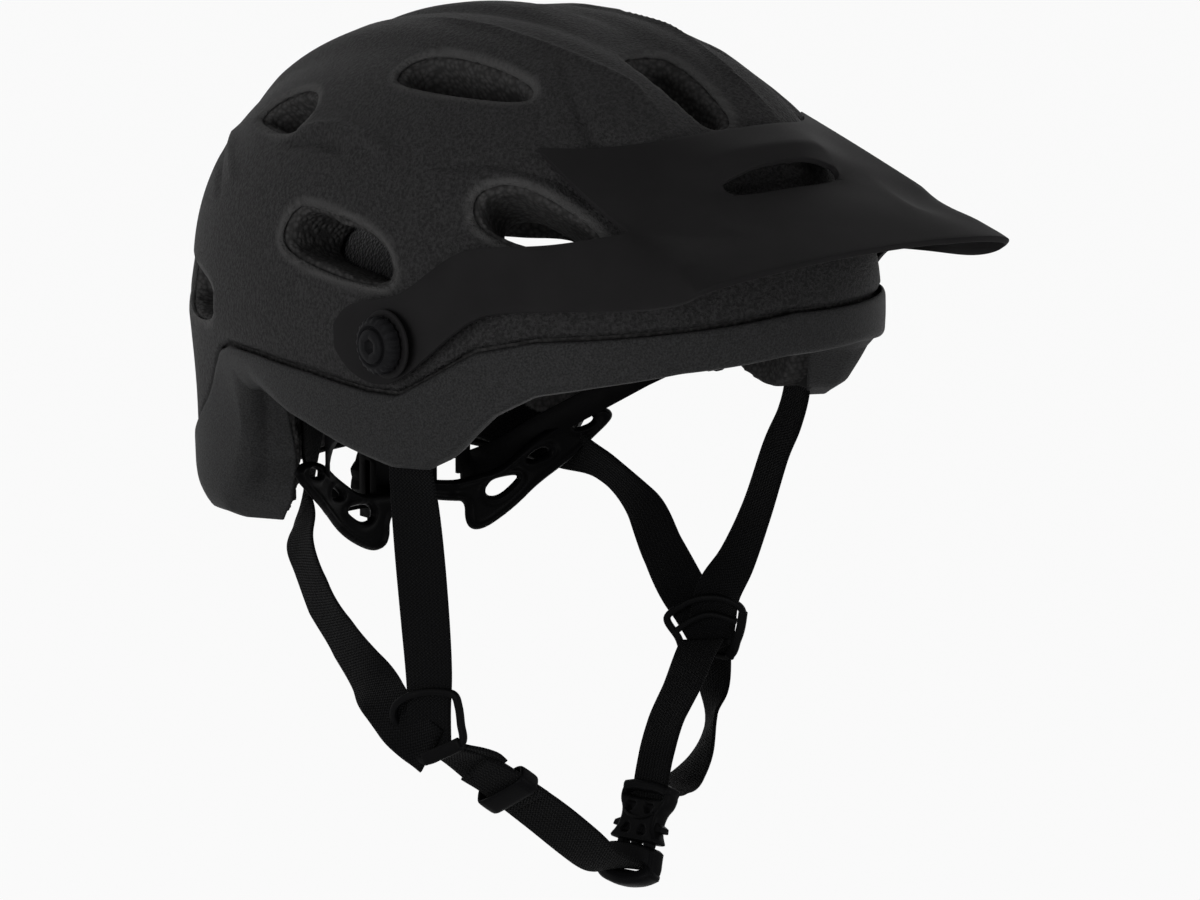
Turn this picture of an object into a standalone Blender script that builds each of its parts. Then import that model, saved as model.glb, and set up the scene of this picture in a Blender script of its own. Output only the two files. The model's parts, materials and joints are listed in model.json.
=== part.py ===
"""Trail cycling helmet: shells, foam liner, tilting visor, head-fit cradle, straps and buckle.

Metres, +Z up, the wearer looks along -Y and the wearer's right side is -X.
Point lists are in millimetres and pass through mm() or are scaled by MM.
"""

import math

import bmesh
import bpy
import numpy as np
from mathutils import Matrix, Vector

MM = 0.001

# Driving sizes of the shell
CROWN_Z = 0.1450
WIDE_Z = 0.047
HALF_WIDTH = 0.1045
FRONT_REACH = 0.134
REAR_REACH = 0.1425
REAR_FLARE = 0.020          # share by which the shell steps out behind the ears
FLARE_HEIGHT = 0.056
PLAN_POWER = 2.15
DOME_POWER = 2.18
TUCK_RATE = 0.9
TUCK_FRONT = 1.6
TUCK_BEHIND_EAR = 0.085
TUCK_PLACE = 121
TUCK_SPREAD = 19
TUCK_DROP = 0.050
SPINE_HEIGHT = 0.0046
SPINE_HALF_WIDTH = 0.010
RIDGE_HEIGHT = 0.0034
RIDGE_PLACE = 0.0275
RIDGE_HALF_WIDTH = 0.0155
SHELL_THICKNESS = 0.0018
LOWER_PROUD = 0.0012
PARTING_GAP = 0.0008
SHELL_GAP = 0.0005
RING_COUNT_UPPER = 11
RING_COUNT_LOWER = 5

# Head cavity in the foam liner
CAVITY_HALF_WIDTH = 0.083
CAVITY_FRONT = 0.103
CAVITY_REAR = 0.108
CAVITY_CROWN_Z = 0.117
CAVITY_WIDE_Z = 0.030

# Vents
LIP_INSET = 0.0025
VENT_DEPTH = 0.060
VENT_DRAFT = 0.80

# Visor and its thumb screws
VISOR_THICKNESS = 0.0022
PIVOT = (0.1064, -0.0484, 0.0503)
BOSS_RADIUS = 0.0115
BOSS_DEPTH = 0.0044
SCREW_RADIUS = 0.0098
SCREW_HEIGHT = 0.0065
SHANK_RADIUS = 0.0030
SHANK_LENGTH = 0.0165
SHANK_CLEARANCE = 0.0004
INSERT_RADIUS = 0.0062
INSERT_LENGTH = 0.0090
INSERT_END = 0.0990
RUN_GAP = 0.0004

# Head-fit parts
BAND_THICKNESS = 0.0016
ARM_HEIGHT = 0.0100
RACK_HEIGHT = 0.0048
RACK_LEVEL = 0.0062
PINION_RADIUS = 0.0034
HOUSING = (0.050, 0.0100, 0.026)
HOUSING_PLACE = (0.0, 0.0800, -0.036)
TUNNEL_CLEARANCE = 0.0006
DIAL_RADIUS = 0.0135
DIAL_DEPTH = 0.0080
PIN_RADIUS = 0.0030
PIN_PLACE = (0.0, -0.006, 0.016)
PIN_LENGTH = 0.0120

# Webbing
WEB_WIDTH = 0.018
WEB_THICKNESS = 0.0014
RIBBON_STEP = 0.010

ARM_ROUTE = ((78, -6, 16), (77.5, 8, 12), (72.5, 25, 3), (62, 42, -9), (50.5, 57, -20), (42.5, 68, -29),
             (36, 78.6, -35), (30, 80, -36))
RACK_REACH = 0.010
PIN_START = 0.0818
LOBE_ROUTE = ((10, 79.5, -48.6), (20, 79, -54.5), (30, 76, -57.5), (41, 69, -57), (49.5, 61.5, -50), (52.3, 57.2, -43),
              (50, 58.5, -38), (46.5, 62, -37), (41.5, 68, -41), (31, 76, -46.5), (23, 79.5, -48.4))
LOBE_WIDTH = 0.0055
HANGER_ROUTE = ((0, 80.5, -25, 90), (0, 83.5, -18, 90), (0, 92, -6, 90), (0, 97.2, 4, 90), (0, 99, 17, 90))
GUIDE_Y = 0.0973
GUIDE_Z = 0.004
PADS = {
    "brow_pad": (-50, 50, 63, 77, 0.008),
    "crown_pad_front": (-22, 22, 30, 62, 0.007),
    "crown_pad_rear": (158, 202, 26, 58, 0.007),
    "side_pad_right": (-118, -62, 58, 76, 0.007),
    "side_pad_left": (62, 118, 58, 76, 0.007),
}
PAD_GAP = 0.0012
DIVIDER_HALF = 13.4
DIVIDER_THICKNESS = 0.0016
ANCHOR_SAMPLE = 2
ANCHOR_SIZE = (0.0236, 0.0050, 0.0056)
KEEPER_SAMPLE = 4
KEEPER_LENGTH = 0.011
BUCKLE_TOP = (22.9, -38, -133.0)
BUCKLE_FOOT = (7.1, -42, -163.9)
BUCKLE_DEPTH = 0.0078

# Azimuths of the grid columns on one side, in degrees from the front
COLUMNS = (0, 5, 11, 18, 26, 34, 41, 47, 53, 58, 63, 68, 74, 81, 89, 96, 103, 110, 116, 121, 124.5, 127, 129.5,
           132, 136, 141, 147, 154, 162, 171, 180)

# Heights of the rim and of the line between the two shells: (degrees from the front, mm)
RIM = ((0, 46), (18, 44), (30, 40), (40, 36), (47, 28), (55, 12), (60, 7), (68, 6), (80, 10), (90, 14),
       (100, 17), (112, 18), (119, 14), (123, 3), (126, -14), (130.5, -29), (135.5, -38), (142, -39), (150, -33),
       (160, -29), (180, -28))
PARTING = ((0, 61), (18, 58.5), (40, 55), (50, 50), (58, 40), (65, 32), (72, 31.5), (88, 33.5), (106, 34),
           (118, 33), (124, 29), (129, 22), (136, 8), (146, -10), (154, -20), (165, -22), (180, -22))

# Vents: azimuth and dome angle of the centre in degrees, then the outline in mm
# across (positive towards the front on the right side) and up the surface
VENTS = {
    "top_rear": (124, 48, ((-23, -3), (-5, 9), (10, 11), (20, 2), (15, -10), (-18, -9))),
    "top_side": (66.5, 31.3, ((-30, 3), (-26, 15), (0, 12), (33, 3), (30, -6), (4, -9), (-24, -5))),
    "top_front": (0, 33, ((-8, 24), (8, 24), (10, 14), (9, -8), (6.5, -24), (-6.5, -24), (-9, -8), (-10, 14))),
    "brow": (42, 63, ((-20, 2), (-17, 10), (-2, 12), (29, -5), (24, -11), (4, -14), (-15, -6))),
    "side": (83, 73.5, ((-31, 0), (-26, 11), (-16, 12), (12, 9), (27, 2), (32, -10), (8, -11), (-24, -6))),
    "rear_side": (138, 91, ((-27, 1), (-20, 9), (14, 9), (30, 6), (31, -5), (12, -10), (-20, -9))),
}

# Visor cage, right half, mm. The letters run from the hump back to the front edge.
VISOR_POINTS = {
    "c0": (0, -108, 122.5), "h0": (-18, -105.5, 121.5), "e0": (-32, -100, 119.2),
    "m0": (0, -123.5, 115), "m1": (-16, -123, 114.5), "m2": (-28.5, -121, 111.8),
    "c1": (0, -126.2, 110), "h1": (-16, -125.8, 109.6), "e1": (-28, -124.2, 107),
    "g1": (-45, -92, 119.5), "g2": (-53, -82, 119), "f0": (-60, -72, 117.5), "f1": (-65, -100, 104.5),
    "a0": (0, -128, 104.5), "a1": (-16, -128, 104.3), "a2": (-30, -127, 103.5), "a3": (-46, -118, 101.5),
    "f2": (-67, -127, 95.5),
    "b0": (0, -146, 98), "b1": (-18, -145, 97.7), "b2": (-32, -143, 97), "b3": (-50, -138, 95),
    "f3": (-68.5, -145, 90.5),
    "k0": (0, -160, 92.5), "k1": (-20, -159.5, 92.3), "k2": (-38, -156.5, 93), "k3": (-55, -156, 89.5),
    "f4": (-69.5, -156, 86.5),
    "d0": (0, -172, 88), "d1": (-22, -171.5, 87.6), "d2": (-40, -171, 86.4), "d3": (-57, -169, 84.8),
    "f5": (-70.5, -165, 82.5),
    "u0": (-107.3, -21, 53), "l0": (-107.3, -21.5, 45), "u1": (-107.0, -26, 60), "l1": (-107.0, -28, 38),
    "u2": (-105.8, -36, 63.5), "l2": (-105.8, -40, 34.5), "u3": (-103.4, -51, 66), "l3": (-104.0, -51, 36.5),
    "u4": (-99.8, -60, 74), "l4": (-100.8, -65, 49), "u5": (-94.8, -68, 81.5), "l5": (-97, -76, 59),
    "u6": (-92.3, -75, 85), "l6": (-94.3, -84.5, 64.5), "u7": (-87, -89, 87), "l7": (-89.8, -97, 66.5),
    "u8": (-80, -103, 88.5), "l8": (-83.5, -120, 69.8), "l9": (-76.5, -143, 72.5), "l10": (-72.8, -158, 76.5),
    "l11": (-71.5, -163, 79.5),
}
VISOR_FACES = (
    "c0 h0 m1 m0", "h0 e0 m2 m1", "m0 m1 h1 c1", "m1 m2 e1 h1", "e0 g1 a3 m2", "m2 a3 e1", "e1 a3 a2", "g1 g2 f1 a3", "g2 f0 f1", "a3 f1 f2",
    "a0 a1 b1 b0", "a1 a2 b2 b1", "a2 a3 b3 b2", "a3 f2 f3 b3",
    "b0 b1 k1 k0", "b1 b2 k2 k1", "b2 b3 k3 k2", "b3 f3 f4 k3",
    "k0 k1 d1 d0", "k1 k2 d2 d1", "k2 k3 d3 d2", "k3 f4 f5 d3",
    "f5 f4 l11", "f4 f3 l10 l11", "f3 f2 l9 l10", "f2 u8 l8 l9", "u8 u7 l7 l8", "u7 u6 l6 l7", "u6 u5 l5 l6",
    "u5 u4 l4 l5", "u4 u3 l3 l4", "u3 u2 l2 l3", "u2 u1 l1 l2", "u1 u0 l0 l1",
)
VISOR_FOLDS = ("f2 f3 f4 f5", "e0 m2 e1 a2", "m0 m1 m2", "g1 a3 b3 k2", "e0 g1 g2 f0", "u8 f2", "c1 h1 e1", "a0 a1 a2")

# Strap routes, mm, each point with the heading of the web's width in degrees from -Y towards +X
STRAP_ROUTES = {
    "front_strap_right": ((-86.5, -36, 19, 12), (-86.3, -36, 6, 14), (-84, -36, -12, 28), (-82, -36, -31, 34),
                          (-80, -36, -52, 32), (-78.3, -35.6, -70, 26), (-77.3, -34.6, -84, 18), (-77.1, -34.3, -95, 18)),
    "rear_strap_right": ((-25.7, 98.4, 4, 111), (-31.5, 91.2, -11.5, 118), (-39.5, 83.5, -26, 131), (-54, 68, -38, 150),
                         (-66.5, 53, -47, 165), (-73, 36, -60, 178), (-75, 18, -71.8, 190), (-76, 0, -81.5, 198),
                         (-78.0, -12, -87, 198), (-79.2, -22, -91, 198)),
    "front_strap_left": ((86, -45, 21, -14), (85.8, -45, 8, -14), (84.5, -42.5, -4, -12), (83, -36, -17, -8),
                         (80, -29, -40, -8), (75.5, -22.5, -59, -8), (71.6, -17.2, -72, -8), (71.3, -15.2, -84, -8)),
    "rear_strap_left": ((25.7, 98.4, 4, -111), (34, 90, -11, -118), (48.5, 75.5, -21, -131), (59, 55.5, -27, -150),
                        (68, 40, -35, -175), (75, 26, -48, -180), (71.8, 12, -61.9, -185), (69.6, -1, -73, -188),
                        (69.3, -6, -78, -188)),
}
CHIN_ROUTE = ((-74.6, -35.8, -98.8, 24), (-62, -38, -106.2, 32), (-48, -41.9, -117.6, 38), (-33, -44.3, -130, 38),
              (-19, -45.5, -142.3, 28), (-7, -44.3, -151.9, 12), (3.2, -41.9, -156.2, 3))
LOOP_ROUTES = {
    "chin_loop_outer_left": ((66.2, -16.4, -93.0, -8), (60, -20.5, -98.5, -4), (46, -25.5, -103.5, 0),
                             (30.5, -31, -112, 0), (22.9, -36.6, -121.5, 0), (21.4, -37.7, -130.4, 0)),
    "chin_loop_inner_left": ((71.2, -15.4, -91.3, -8), (70.3, -19.5, -106, -6), (66, -24, -116, -4), (54, -29, -124, 0),
                             (42, -33.5, -129.5, 0), (32, -37, -129.5, 0), (26.6, -37.8, -132.0, 0)),
}


def mm(x, y, z):
    return Vector((x * MM, y * MM, z * MM))


# ---------------------------------------------------------------- objects and materials


def clear_scene():
    for old in list(bpy.data.objects):
        bpy.data.objects.remove(old, do_unlink=True)


def material(name, colour, roughness, metallic=0.0):
    found = bpy.data.materials.get(name)
    if found:
        return found
    made = bpy.data.materials.new(name)
    made.use_nodes = True
    shader = made.node_tree.nodes["Principled BSDF"]
    shader.inputs["Base Color"].default_value = (*colour, 1.0)
    shader.inputs["Roughness"].default_value = roughness
    shader.inputs["Metallic"].default_value = metallic
    return made


FINISHES = {
    "upper_shell": ((0.030, 0.029, 0.028), 0.62),
    "lower_shell": ((0.034, 0.033, 0.033), 0.60),
    "foam": ((0.020, 0.020, 0.020), 0.85),
    "visor": ((0.022, 0.021, 0.021), 0.55),
    "screw": ((0.022, 0.022, 0.022), 0.45),
    "insert": ((0.45, 0.35, 0.16), 0.35),
    "fit": ((0.015, 0.015, 0.015), 0.45),
    "dial": ((0.020, 0.020, 0.020), 0.50),
    "pad": ((0.012, 0.012, 0.013), 0.95),
    "web": ((0.010, 0.010, 0.010), 0.90),
    "buckle": ((0.014, 0.014, 0.014), 0.40),
}


def add_object(name, mesh, finish, origin=(0.0, 0.0, 0.0), smooth=True):
    """Puts the mesh, made in world metres, into the scene with its origin where asked."""
    mesh.transform(Matrix.Translation(-Vector(origin)))
    made = bpy.data.objects.new(name, mesh)
    made.location = origin
    colour, roughness = FINISHES[finish]
    metallic = 1.0 if finish == "insert" else 0.0
    mesh.materials.clear()
    mesh.materials.append(material(name, colour, roughness, metallic))
    bpy.context.scene.collection.objects.link(made)
    if smooth:
        mesh.polygons.foreach_set("use_smooth", [True] * len(mesh.polygons))
    return made


def mesh_from(verts, faces, flip_check=True):
    mesh = bpy.data.meshes.new("raw")
    mesh.from_pydata([tuple(v) for v in verts], [], faces)
    work = bmesh.new()
    work.from_mesh(mesh)
    if flip_check:
        bmesh.ops.recalc_face_normals(work, faces=work.faces)
    work.to_mesh(mesh)
    work.free()
    return mesh


def baked(mesh, *modifiers):
    """Returns the mesh with the given modifiers worked in; each is (type, settings)."""
    holder = bpy.data.objects.new("holder", mesh)
    bpy.context.scene.collection.objects.link(holder)
    for index, (kind, settings) in enumerate(modifiers):
        added = holder.modifiers.new(f"step_{index}", kind)
        for key, value in settings.items():
            setattr(added, key, value)
    bpy.context.view_layer.update()
    graph = bpy.context.evaluated_depsgraph_get()
    result = bpy.data.meshes.new_from_object(holder.evaluated_get(graph))
    bpy.data.objects.remove(holder, do_unlink=True)
    return result


def combined(mesh, tools, operation):
    """Boolean of the mesh with each tool mesh in turn."""
    for tool in tools:
        cutter = bpy.data.objects.new("cutter", tool)
        cutter.hide_render = True
        cutter.display_type = "WIRE"
        bpy.context.scene.collection.objects.link(cutter)
        settings = {"operation": operation, "solver": "EXACT", "object": cutter}
        mesh = baked(mesh, ("BOOLEAN", settings))
        bpy.data.objects.remove(cutter, do_unlink=True)
    return mesh


def tidied(mesh):
    """Joins doubled points and dissolves needle faces that a Boolean leaves."""
    work = bmesh.new()
    work.from_mesh(mesh)
    bmesh.ops.remove_doubles(work, verts=work.verts, dist=5e-6)
    bmesh.ops.triangulate(work, faces=work.faces)
    work.to_mesh(mesh)
    work.free()
    return mesh


def loft(rings, closed_ends=True, closed_loop=False):
    """Skins rings that all have the same number of points."""
    count = len(rings[0])
    verts = [point for ring in rings for point in ring]
    faces = []
    spans = len(rings) if closed_loop else len(rings) - 1
    for row in range(spans):
        here = row * count
        there = ((row + 1) % len(rings)) * count
        for col in range(count):
            after = (col + 1) % count
            faces.append((here + col, here + after, there + after, there + col))
    if closed_ends and not closed_loop:
        faces.append(tuple(range(count)))
        last = (len(rings) - 1) * count
        faces.append(tuple(last + col for col in range(count)))
    return mesh_from(verts, faces)


def block(centre, size, axes=None):
    """Box of the given size; axes are three unit vectors."""
    axes = axes or (Vector((1, 0, 0)), Vector((0, 1, 0)), Vector((0, 0, 1)))
    centre = Vector(centre)
    rings = []
    for level in (-0.5, 0.5):
        ring = []
        for across, along in ((-0.5, -0.5), (0.5, -0.5), (0.5, 0.5), (-0.5, 0.5)):
            offset = axes[0] * (across * size[0]) + axes[1] * (along * size[1]) + axes[2] * (level * size[2])
            ring.append(centre + offset)
        rings.append(ring)
    return loft(rings)


def turned(centre, axis, profile, count=24, shape=None):
    """Rings of (radius, distance along the axis); shape(radius, angle, row) may change a radius."""
    axis = Vector(axis).normalized()
    side = axis.orthogonal().normalized()
    up = axis.cross(side)
    rings = []
    for row, (radius, along) in enumerate(profile):
        ring = []
        for step in range(count):
            angle = 2 * math.pi * step / count
            size = shape(radius, angle, row) if shape else radius
            ring.append(Vector(centre) + axis * along + (side * math.cos(angle) + up * math.sin(angle)) * size)
        rings.append(ring)
    return loft(rings)


# ---------------------------------------------------------------- the helmet's surfaces


def between(table, degrees):
    return np.interp(degrees, [row[0] for row in table], [row[1] for row in table]) * MM


def plan_point(angle, half_width, front, rear):
    """Point of the widest ring at an angle from the front, positive towards +X."""
    reach = np.where(np.cos(angle) > 0, front, rear)
    across = np.abs(np.sin(angle) / half_width) ** PLAN_POWER
    along = np.abs(np.cos(angle) / reach) ** PLAN_POWER
    radius = (across + along) ** (-1 / PLAN_POWER)
    return radius * np.sin(angle), -radius * np.cos(angle)


def dome_angle(height, wide, crown):
    """Dome angle at a height: 90 degrees at the widest ring, and 1 rad per 0.1 m below it."""
    above = np.clip((height - wide) / (crown - wide), 0, 1) ** (DOME_POWER / 2)
    return np.where(height > wide, np.arccos(above), math.pi / 2 + (wide - height) * 10)


def relief(x, y, z):
    """Height of the spine and the two ridges above the plain dome."""
    fade = np.clip((z - 0.085) / 0.030, 0, 1)
    behind = np.clip((y + 0.045) / 0.045, 0, 1)
    spine = SPINE_HEIGHT * np.exp(-((x / SPINE_HALF_WIDTH) ** 4)) * behind
    ridge = RIDGE_HEIGHT * np.exp(-(((np.abs(x) - RIDGE_PLACE) / RIDGE_HALF_WIDTH) ** 4))
    return (spine + ridge) * fade


def plain_dome(angle, tilt, half_width, front, rear, wide, crown):
    x, y = plan_point(angle, half_width, front, rear)
    up = np.minimum(tilt, math.pi / 2)
    swing = np.sin(up) ** (2 / DOME_POWER)
    rise = np.clip(np.cos(up), 0, 1) ** (2 / DOME_POWER)
    drop = np.maximum(tilt - math.pi / 2, 0) * 0.1
    ahead = np.clip(np.cos(angle), 0, 1) ** 2
    behind_ear = TUCK_BEHIND_EAR * np.exp(-(((np.abs(np.degrees(angle)) - TUCK_PLACE) / TUCK_SPREAD) ** 2))
    share = np.clip(drop / TUCK_DROP, 0, 1)
    upright = 1 - np.clip((np.abs(np.degrees(angle)) - 125) / 20, 0, 1)
    tuck = 1 - (TUCK_RATE + TUCK_FRONT * ahead) * 10 * drop**2 * upright - 0.2 * drop
    tuck = tuck - behind_ear * share**2 * (3 - 2 * share)
    z = wide + (crown - wide) * rise - drop
    return np.stack([x * swing * tuck, y * swing * tuck, z], -1)


def outer_dome(angle, tilt):
    points = plain_dome(angle, tilt, HALF_WIDTH, FRONT_REACH, REAR_REACH, WIDE_Z, CROWN_Z)
    share = np.clip((FLARE_HEIGHT - points[..., 2]) / 0.020, 0, 1)
    behind = np.exp(-(((np.abs(np.degrees(angle)) - 145) / 22) ** 2))
    flare = 1 + REAR_FLARE * share**2 * (3 - 2 * share) * behind
    return points * np.stack([flare, flare, np.ones_like(flare)], -1)


def cavity_dome(angle, tilt):
    return plain_dome(angle, tilt, CAVITY_HALF_WIDTH, CAVITY_FRONT, CAVITY_REAR, CAVITY_WIDE_Z, CAVITY_CROWN_Z)


def surface(dome, angle, tilt, offset=0.0, raised=True):
    """Points of a dome moved outwards by offset along its own normals."""
    step = 1e-3
    angle, tilt = np.broadcast_arrays(np.asarray(angle, float), np.asarray(tilt, float))
    safe = np.maximum(tilt, 2e-2)
    round_way = dome(angle + step, safe) - dome(angle - step, safe)
    down_way = dome(angle, safe + step) - dome(angle, safe - step)
    normal = np.cross(down_way, round_way)
    normal /= np.linalg.norm(normal, axis=-1, keepdims=True)
    centre_side = np.where((normal * dome(angle, safe)).sum(-1, keepdims=True) < 0, -1, 1)
    normal = normal * centre_side
    normal = np.where(tilt[..., None] < 1e-6, (0.0, 0.0, 1.0), normal)
    point = dome(angle, tilt)
    height = relief(point[..., 0], point[..., 1], point[..., 2]) if raised else 0.0
    return point + normal * (height + offset)[..., None] if raised else point + normal * offset


def column_angles():
    """All columns right round, from -180 up to but not including 180 degrees."""
    left = list(COLUMNS)
    right = [-value for value in left[1:-1]]
    return np.radians(sorted(right + left))


def dome_rows(angles, start_tilt, end_tilt, count, skip_first):
    """Tilts of count rings between two lines of the dome."""
    share = np.linspace(0, 1, count + 1)
    if skip_first:
        share = share[1:]
    return start_tilt + (end_tilt - start_tilt) * share[:, None]


def rim_tilt(angles):
    return dome_angle(between(RIM, np.degrees(np.abs(angles))), WIDE_Z, CROWN_Z)


def parting_tilt(angles, shift=0.0):
    return dome_angle(between(PARTING, np.degrees(np.abs(angles))) + shift, WIDE_Z, CROWN_Z)


def capped_shell(top_out, rows_out, top_in, rows_in):
    """A closed dome from two sets of rings, each with its own crown point, joined at the last ring."""
    count = rows_out.shape[1]
    verts = [top_out, *rows_out.reshape(-1, 3), top_in, *rows_in.reshape(-1, 3)]
    inner = 1 + rows_out.shape[0] * count
    faces = []
    for start, rings in ((0, rows_out.shape[0]), (inner, rows_in.shape[0])):
        for col in range(count):
            after = (col + 1) % count
            faces.append((start, start + 1 + col, start + 1 + after))
            for row in range(rings - 1):
                here = start + 1 + row * count
                faces.append((here + col, here + count + col, here + count + after))
                faces.append((here + col, here + count + after, here + after))
    last_out = 1 + (rows_out.shape[0] - 1) * count
    last_in = inner + 1 + (rows_in.shape[0] - 1) * count
    for col in range(count):
        after = (col + 1) % count
        faces.append((last_out + col, last_in + col, last_in + after))
        faces.append((last_out + col, last_in + after, last_out + after))
    return mesh_from(verts, faces)


# ---------------------------------------------------------------- vents


def vent_frame(angle_degrees, tilt_degrees, side):
    """Centre, across, up and outward directions of a vent; side is 1 on the left and -1 on the right."""
    angle = math.radians(angle_degrees) * side
    tilt = math.radians(tilt_degrees)
    centre = Vector(surface(outer_dome, angle, tilt))
    out = (Vector(surface(outer_dome, angle, tilt, 0.01)) - centre).normalized()
    across = Vector((0, 0, 1)).cross(out).normalized() * -side
    up = out.cross(across) * -side
    return centre, across, up, out


def rounded(points, rounds):
    """Corner cutting: each pass replaces a corner by two points nearer to it."""
    for _ in range(rounds):
        cut = []
        for here, after in zip(points, points[1:] + points[:1]):
            cut.append(here.lerp(after, 0.25))
            cut.append(here.lerp(after, 0.75))
        points = cut
    return points


def grown(points, distance):
    """Moves every point of a flat outline away from its centre by a distance."""
    centre = sum(points, Vector((0, 0))) / len(points)
    return [point + (point - centre).normalized() * distance for point in points]


def vent_cutter(vent, side, grow, outside, depth, draft):
    angle, tilt, outline = VENTS[vent]
    centre, across, up, out = vent_frame(angle, tilt, side)
    flat = rounded([Vector((a * MM, b * MM)) for a, b in outline], 1)
    flat = grown(flat, grow)
    rings = []
    for distance, scale in ((outside, 1.0), (0.0, 1.0), (-depth, draft)):
        ring = []
        for point in flat:
            ring.append(centre + across * (point.x * scale) + up * (point.y * scale) + out * distance)
        rings.append(ring)
    return loft(rings)


def vent_cutters(grow, outside, depth, draft):
    sides = [(vent, side) for vent, row in VENTS.items() for side in ((-1, 1) if row[0] else (1,))]
    return [vent_cutter(vent, side, grow, outside, depth, draft) for vent, side in sides]


def side_bore(radius, start, end):
    """Cylinders along X through both pivots, from start to end outwards of the centre."""
    tools = []
    for side in (-1, 1):
        tools.append(turned((0, PIVOT[1], PIVOT[2]), (side, 0, 0), ((radius, start), (radius, end)), 20))
    return tools


# ---------------------------------------------------------------- shells and liner


def build_upper_shell():
    angles = column_angles()
    end = parting_tilt(angles, PARTING_GAP / 2)
    tilts = dome_rows(angles, 0 * end, end, RING_COUNT_UPPER, True)
    outside = surface(outer_dome, angles, tilts)
    inside = surface(outer_dome, angles, tilts, -SHELL_THICKNESS)
    top = surface(outer_dome, 0.0, 0.0)
    low = surface(outer_dome, 0.0, 0.0, -SHELL_THICKNESS)
    shell = capped_shell(top, outside, low, inside)
    shell = combined(shell, vent_cutters(0.0, 0.02, 0.012, 1.0), "DIFFERENCE")
    shell = combined(shell, side_bore(INSERT_RADIUS + RUN_GAP, 0.09, 0.12), "DIFFERENCE")
    return add_object("upper_shell", tidied(shell), "upper_shell")


def build_lower_shell():
    angles = column_angles()
    start = parting_tilt(angles, -PARTING_GAP / 2)
    tilts = dome_rows(angles, start, rim_tilt(angles), RING_COUNT_LOWER, False)
    outside = surface(outer_dome, angles, tilts, LOWER_PROUD, raised=False)
    inside = surface(outer_dome, angles, tilts, -SHELL_THICKNESS, raised=False)
    rings = np.stack([*outside, *inside[::-1]])
    band = loft([[Vector(p) for p in rings[:, col]] for col in range(rings.shape[1])], closed_loop=True)
    return add_object("lower_shell", tidied(band), "lower_shell")


def build_liner():
    angles = column_angles()
    part = parting_tilt(angles)
    upper = dome_rows(angles, 0 * part, part, RING_COUNT_UPPER, True)
    lower = dome_rows(angles, part, rim_tilt(angles), RING_COUNT_LOWER, False)[1:]
    tilts = np.concatenate([upper, lower])
    inset = -(SHELL_THICKNESS + SHELL_GAP)
    outside = surface(outer_dome, angles, tilts, inset)
    rim = between(RIM, np.degrees(np.abs(angles)))
    inner_end = dome_angle(rim + 0.002, CAVITY_WIDE_Z, CAVITY_CROWN_Z)
    inner_tilts = dome_rows(angles, 0 * inner_end, inner_end, RING_COUNT_UPPER, True)
    inside = surface(cavity_dome, angles, inner_tilts, raised=False)
    top = surface(outer_dome, 0.0, 0.0, inset)
    low = surface(cavity_dome, 0.0, 0.0, raised=False)
    liner = capped_shell(top, outside, low, inside)
    liner = combined(liner, vent_cutters(-LIP_INSET, 0.02, VENT_DEPTH, VENT_DRAFT), "DIFFERENCE")
    bores = side_bore(INSERT_RADIUS + RUN_GAP, PIVOT[0] - 0.018, 0.12)
    liner = combined(liner, [*bores, *anchor_pockets()], "DIFFERENCE")
    return add_object("foam_liner", tidied(liner), "foam")


# ---------------------------------------------------------------- visor


def build_visor():
    names = list(VISOR_POINTS)
    verts = []
    index = {}
    for side in (-1, 1):
        for name in names:
            x, y, z = VISOR_POINTS[name]
            if side == 1 and x == 0:
                index[side, name] = index[-1, name]
                continue
            index[side, name] = len(verts)
            verts.append(mm(x * -side, y, z))
    faces = []
    for side in (-1, 1):
        for row in VISOR_FACES:
            loop = [index[side, name] for name in row.split()]
            faces.append(tuple(loop[::-1] if side == 1 else loop))
    mesh = mesh_from(verts, faces, flip_check=False)
    creases = mesh.attributes.new("crease_edge", "FLOAT", "EDGE")
    folds = set()
    for side in (-1, 1):
        for row in VISOR_FOLDS:
            points = [index[side, name] for name in row.split()]
            folds |= {frozenset(pair) for pair in zip(points, points[1:])}
    for edge in mesh.edges:
        if frozenset(edge.vertices) in folds:
            creases.data[edge.index].value = 0.8
    smooth = ("SUBSURF", {"levels": 1, "render_levels": 1, "boundary_smooth": "PRESERVE_CORNERS"})
    thick = ("SOLIDIFY", {"thickness": VISOR_THICKNESS, "offset": -1.0, "use_even_offset": False})
    mesh = baked(mesh, smooth, thick)
    bosses = side_bore(BOSS_RADIUS, PIVOT[0] - BOSS_DEPTH, PIVOT[0])
    mesh = combined(mesh, bosses, "UNION")
    holes = side_bore(SHANK_RADIUS + SHANK_CLEARANCE, 0.09, 0.12)
    mesh = combined(mesh, holes, "DIFFERENCE")
    return add_object("visor", tidied(mesh), "visor", (0.0, PIVOT[1], PIVOT[2]))


def screw_shape(radius, angle, row):
    if row in (1, 2):
        return radius + 0.0003 * math.cos(18 * angle)
    if row >= 6:
        wedge = (angle + math.pi / 6) % (math.pi / 3) - math.pi / 6
        return radius * math.cos(math.pi / 6) / math.cos(wedge)
    return radius


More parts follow.
